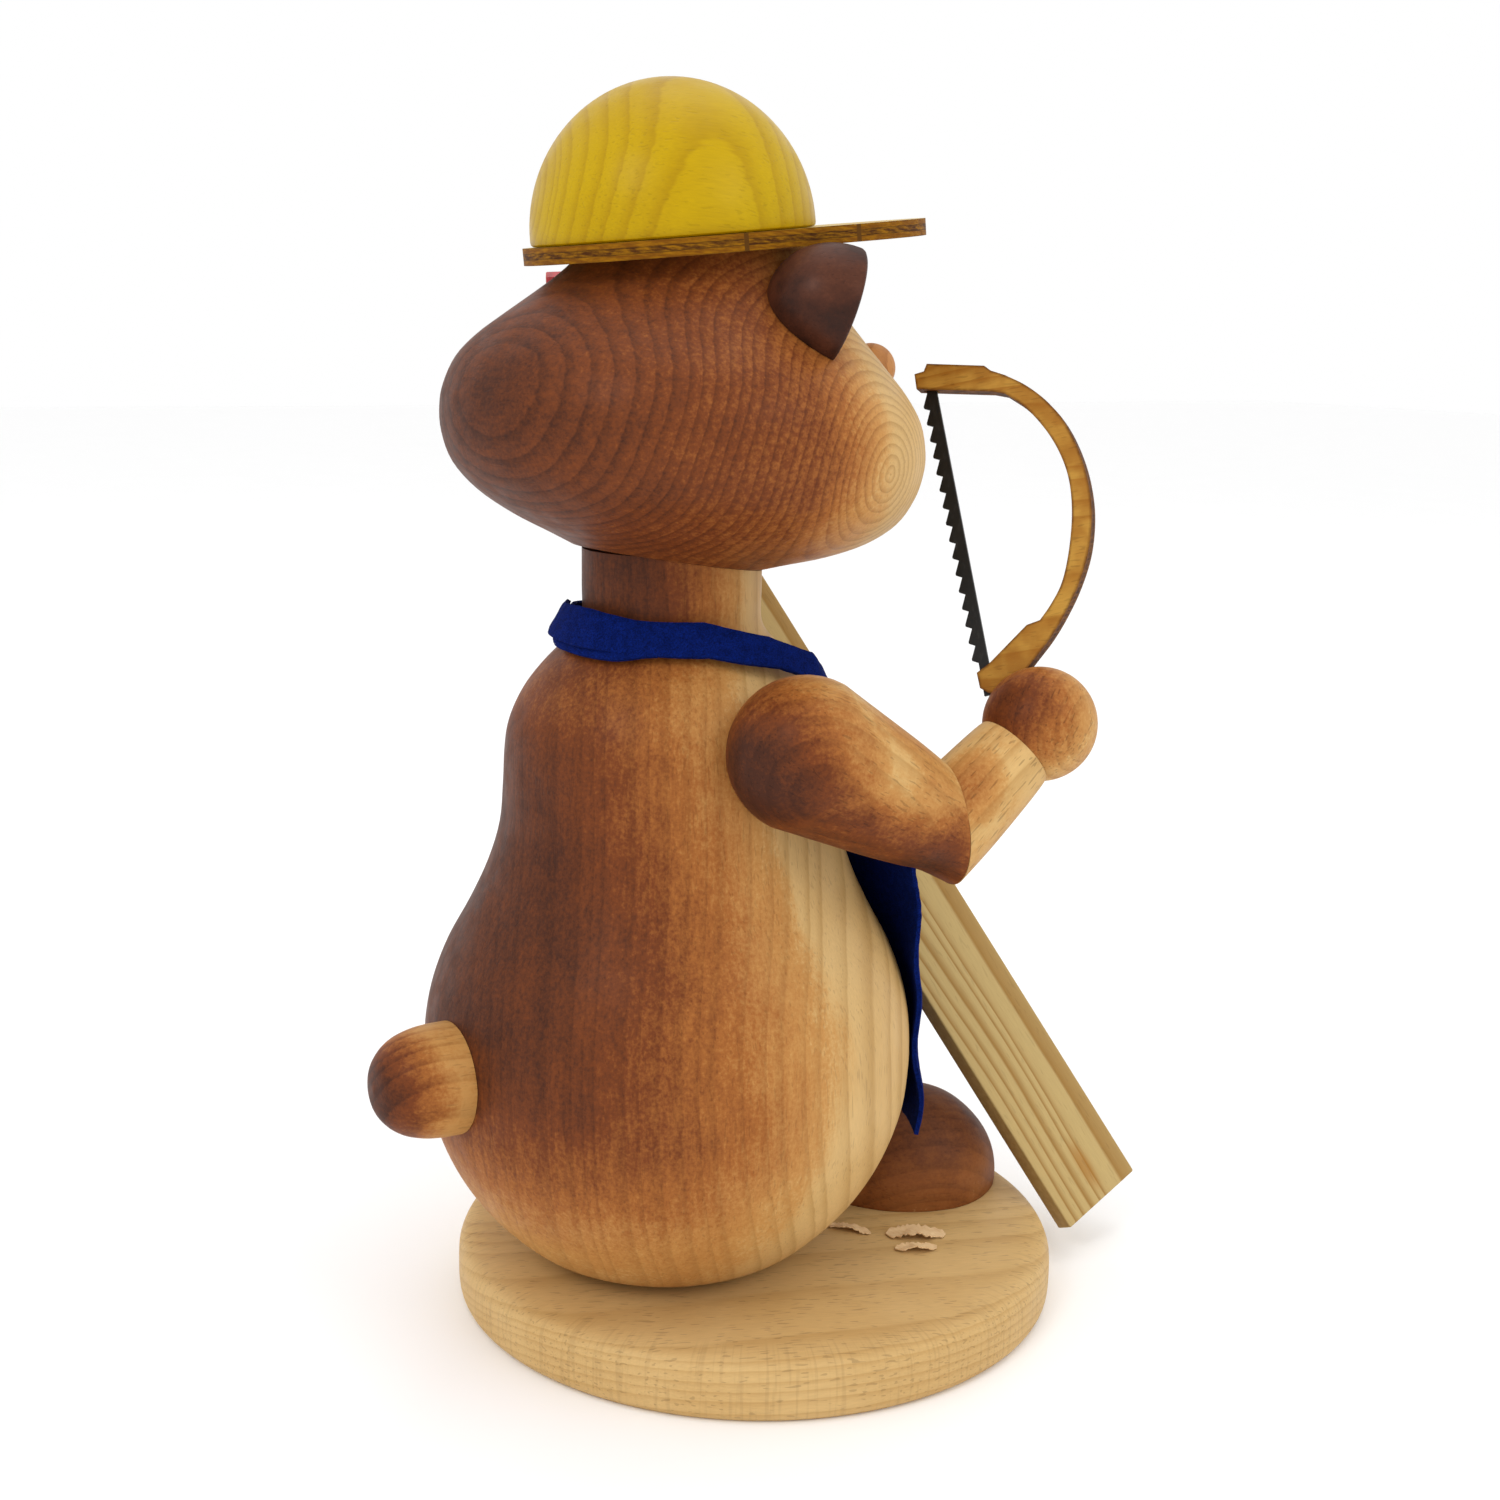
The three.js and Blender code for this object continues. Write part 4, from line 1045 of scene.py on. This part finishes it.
def felt_slab(name, point, nx, ny, thick, closed=False):
    """A sheet of felt: two skins and torn-soft edges, from its middle surface point(i, j)."""
    low, high = [], []
    for i in range(nx + (0 if closed else 1)):
        for j in range(ny + 1):
            here = point(i, j)
            du = point(i + 1 if i < nx or closed else i, j) - point(i - 1 if i or closed else i, j)
            dv = point(i, min(j + 1, ny)) - point(i, max(j - 1, 0))
            out = du.cross(dv).normalized()
            rim = min(j, ny - j, 99 if closed else min(i, nx - i))
            half = thick / 2 * (0.62 if rim == 0 else 1.0)
            fuzz = 0.09 * noise.noise(here * 0.9)
            low.append(tuple(here - out * (half + fuzz)))
            high.append(tuple(here + out * (half - fuzz)))
    return make(name, (low + high, slab_faces(nx, ny, closed)), SEAT)


def build_apron(cloth, straps):
    nx, ny = 72, 120

    def point(i, j):
        ragged = 0.25 * noise.noise(Vector((i * 0.35, j * 0.35, 3)))
        share = 2 * i / nx - 1
        if i in (0, nx):
            share += 0.004 * math.sin(j * 1.9) + 0.006 * noise.noise(Vector((i, j * 0.5, 7)))
        up = APRON_BOTTOM + (APRON_TOP - APRON_BOTTOM) * j / ny
        return apron_point(share, up + (ragged if j in (0, ny) else 0.0))

    apron = felt_slab("apron_felt", point, nx, ny, 1.3)
    dress(apron, "apron", "figure", "blue_felt", cloth, angle=70)


# Angle from the front, then radius and height of the strap's lower and upper edge.
STRAP_TRACK = [(30, 31.7, 104.0, 29.5, 110.6), (40, 30.4, 110.0, 28.0, 116.0),
               (50, 29.4, 113.8, 27.4, 119.3), (70, 26.4, 117.4, 23.3, 122.9),
               (100, 22.4, 119.9, 19.0, 125.4), (180, 21.3, 120.2, 17.9, 126.4)]


def strap_point(angle, share, lift=0.0, drop=0.0):
    front = angle if angle <= 180 else 360 - angle
    r0, z0, r1, z1 = lerp_track(STRAP_TRACK, front)
    run = Vector((r1 - r0, z1 - z0)).normalized()
    r = r0 + (r1 - r0) * share + run.y * lift - run.x * drop
    z = z0 + (z1 - z0) * share - run.x * lift - run.y * drop
    room = lerp_track(BODY_REACH, z)[0] + 0.95
    r = max(r, room)
    a = math.radians(angle)
    return Vector((r * math.sin(a), -r * math.cos(a), z))


def build_strap(cloth):
    """The end from the bear's right, laid over the end from its left at the nape."""
    nx, ny = 150, 8

    def over_end(i, j):
        angle = 330 - (330 - 142) * i / nx
        wave = 0.25 * math.sin(angle * 0.09) + 0.15 * noise.noise(Vector((angle * 0.1, j, 2)))
        lap = 1.2 * (1 - smoothstep(angle, 200, 226)) + 0.7 * smoothstep(angle, 322, 330)
        return strap_point(angle, j / ny, lap, wave * (j / ny - 0.3))

    def under_end(i, j):
        angle = 30 + (236 - 30) * i / nx
        drop = 1.3 * smoothstep(angle, 150, 176) * (1 - 0.9 * smoothstep(angle, 214, 236))
        wave = 0.25 * math.sin(angle * 0.11 + 1)
        lap = 0.7 * (1 - smoothstep(angle, 30, 38))
        return strap_point(angle, j / ny, lap, drop + wave * (j / ny - 0.3))

    pieces = []
    for name, point in (("neck_strap_over", over_end), ("neck_strap_under", under_end)):
        strap = felt_slab(name, point, nx, ny, 1.2)
        pieces.append(dress(strap, "neck_strap", "figure", "blue_felt", cloth, angle=70))
    return pieces


# ------------------------------------------------------------------ stage
def build_stage():
    floor = bpy.data.meshes.new("floor")
    floor.from_pydata([(-4, -4, 0), (4, -4, 0), (4, 4, 0), (-4, 4, 0)], [], [(0, 1, 2, 3)])
    plane = bpy.data.objects.new("floor", floor)
    bpy.context.scene.collection.objects.link(plane)
    paper = Shader("studio_paper")
    tint = paper.noise(paper.p, 60, 2)
    floor.materials.append(paper.done(paper.mix(tint, rgb(252, 252, 252), rgb(254, 254, 254)), 0.8))

    world = bpy.data.worlds.new("studio")
    bpy.context.scene.world = world
    world.use_nodes = True
    world.node_tree.nodes["Background"].inputs[0].default_value = (1.0, 1.0, 1.0, 1.0)
    world.node_tree.nodes["Background"].inputs[1].default_value = 1.0


def softbox(name, at, size, power):
    light = bpy.data.lights.new(name, "AREA")
    light.shape = "RECTANGLE"
    light.size, light.size_y = size
    light.energy = power
    lamp = bpy.data.objects.new(name, light)
    lamp.location = at
    lamp.rotation_mode = "QUATERNION"
    lamp.rotation_quaternion = (Vector((0, 0, 0.11)) - Vector(at)).to_track_quat("-Z", "Y")
    bpy.context.scene.collection.objects.link(lamp)


def build_camera():
    data = bpy.data.cameras.new("camera")
    data.lens, data.sensor_width, data.sensor_fit = 48.0, 36.0, "HORIZONTAL"
    data.clip_start, data.clip_end = 0.01, 30
    camera = bpy.data.objects.new("camera", data)
    right, up = Vector((-0.5, -0.866, 0.0)), Vector((0.18, -0.104, 0.978))
    roll = 0.017
    x = (right * math.cos(roll) + up * math.sin(roll)).normalized()
    y = (up * math.cos(roll) - right * math.sin(roll)).normalized()
    camera.matrix_world = frame_of(Vector((-327.8, 192.2, 189.8)) * MM, x, y, x.cross(y))
    bpy.context.scene.collection.objects.link(camera)
    bpy.context.scene.camera = camera


# ------------------------------------------------------------------ the whole
bpy.context.scene.view_settings.view_transform = "Standard"
build_camera()
build_stage()
softbox("key", (-0.35, 0.8, 0.85), (0.35, 0.35), 2.2)
softbox("side", (-0.9, -0.35, 0.75), (0.5, 0.5), 1.6)
softbox("top", (0.1, -0.1, 1.1), (0.7, 0.7), 1.6)

build_base()
build_foot("foot_right", 1.0, -38.8, -105, False)
build_foot("foot_left", 35.0, -20.0, -42, True)
build_shavings()
build_body()
build_head()
build_ear("ear_right", -1)
build_ear("ear_left", 1)
build_helmet()
build_pencil()
build_arm("right", RIGHT_ARM, (-120, -10, 60), (
    stain_under(RIGHT_ARM, [((-43, 31, 113), 9, 30, 1.0), ((-45, -7, 93), 5, 19, 0.92)]),
    stain_ends([((-49, -14, 112), 1, 11, 0.5)], 0.06),
    stain_ends([((-43, -27, 123), 3, 16, 0.8)], 0.1)))
build_arm("left", LEFT_ARM, (120, -10, 60), (
    stain_under(LEFT_ARM, [((43, 31, 113), 9, 30, 1.0), ((50, -4, 85), 5, 19, 0.85)]),
    stain_ends([((50, -20, 100), 1, 11, 0.5)], 0.06),
    stain_ends([((34, -34, 98), 4, 15.5, 0.85)], 0.1)))
build_saw()
build_plank()
felt_cloth = felt()
build_apron(felt_cloth, build_strap(felt_cloth))
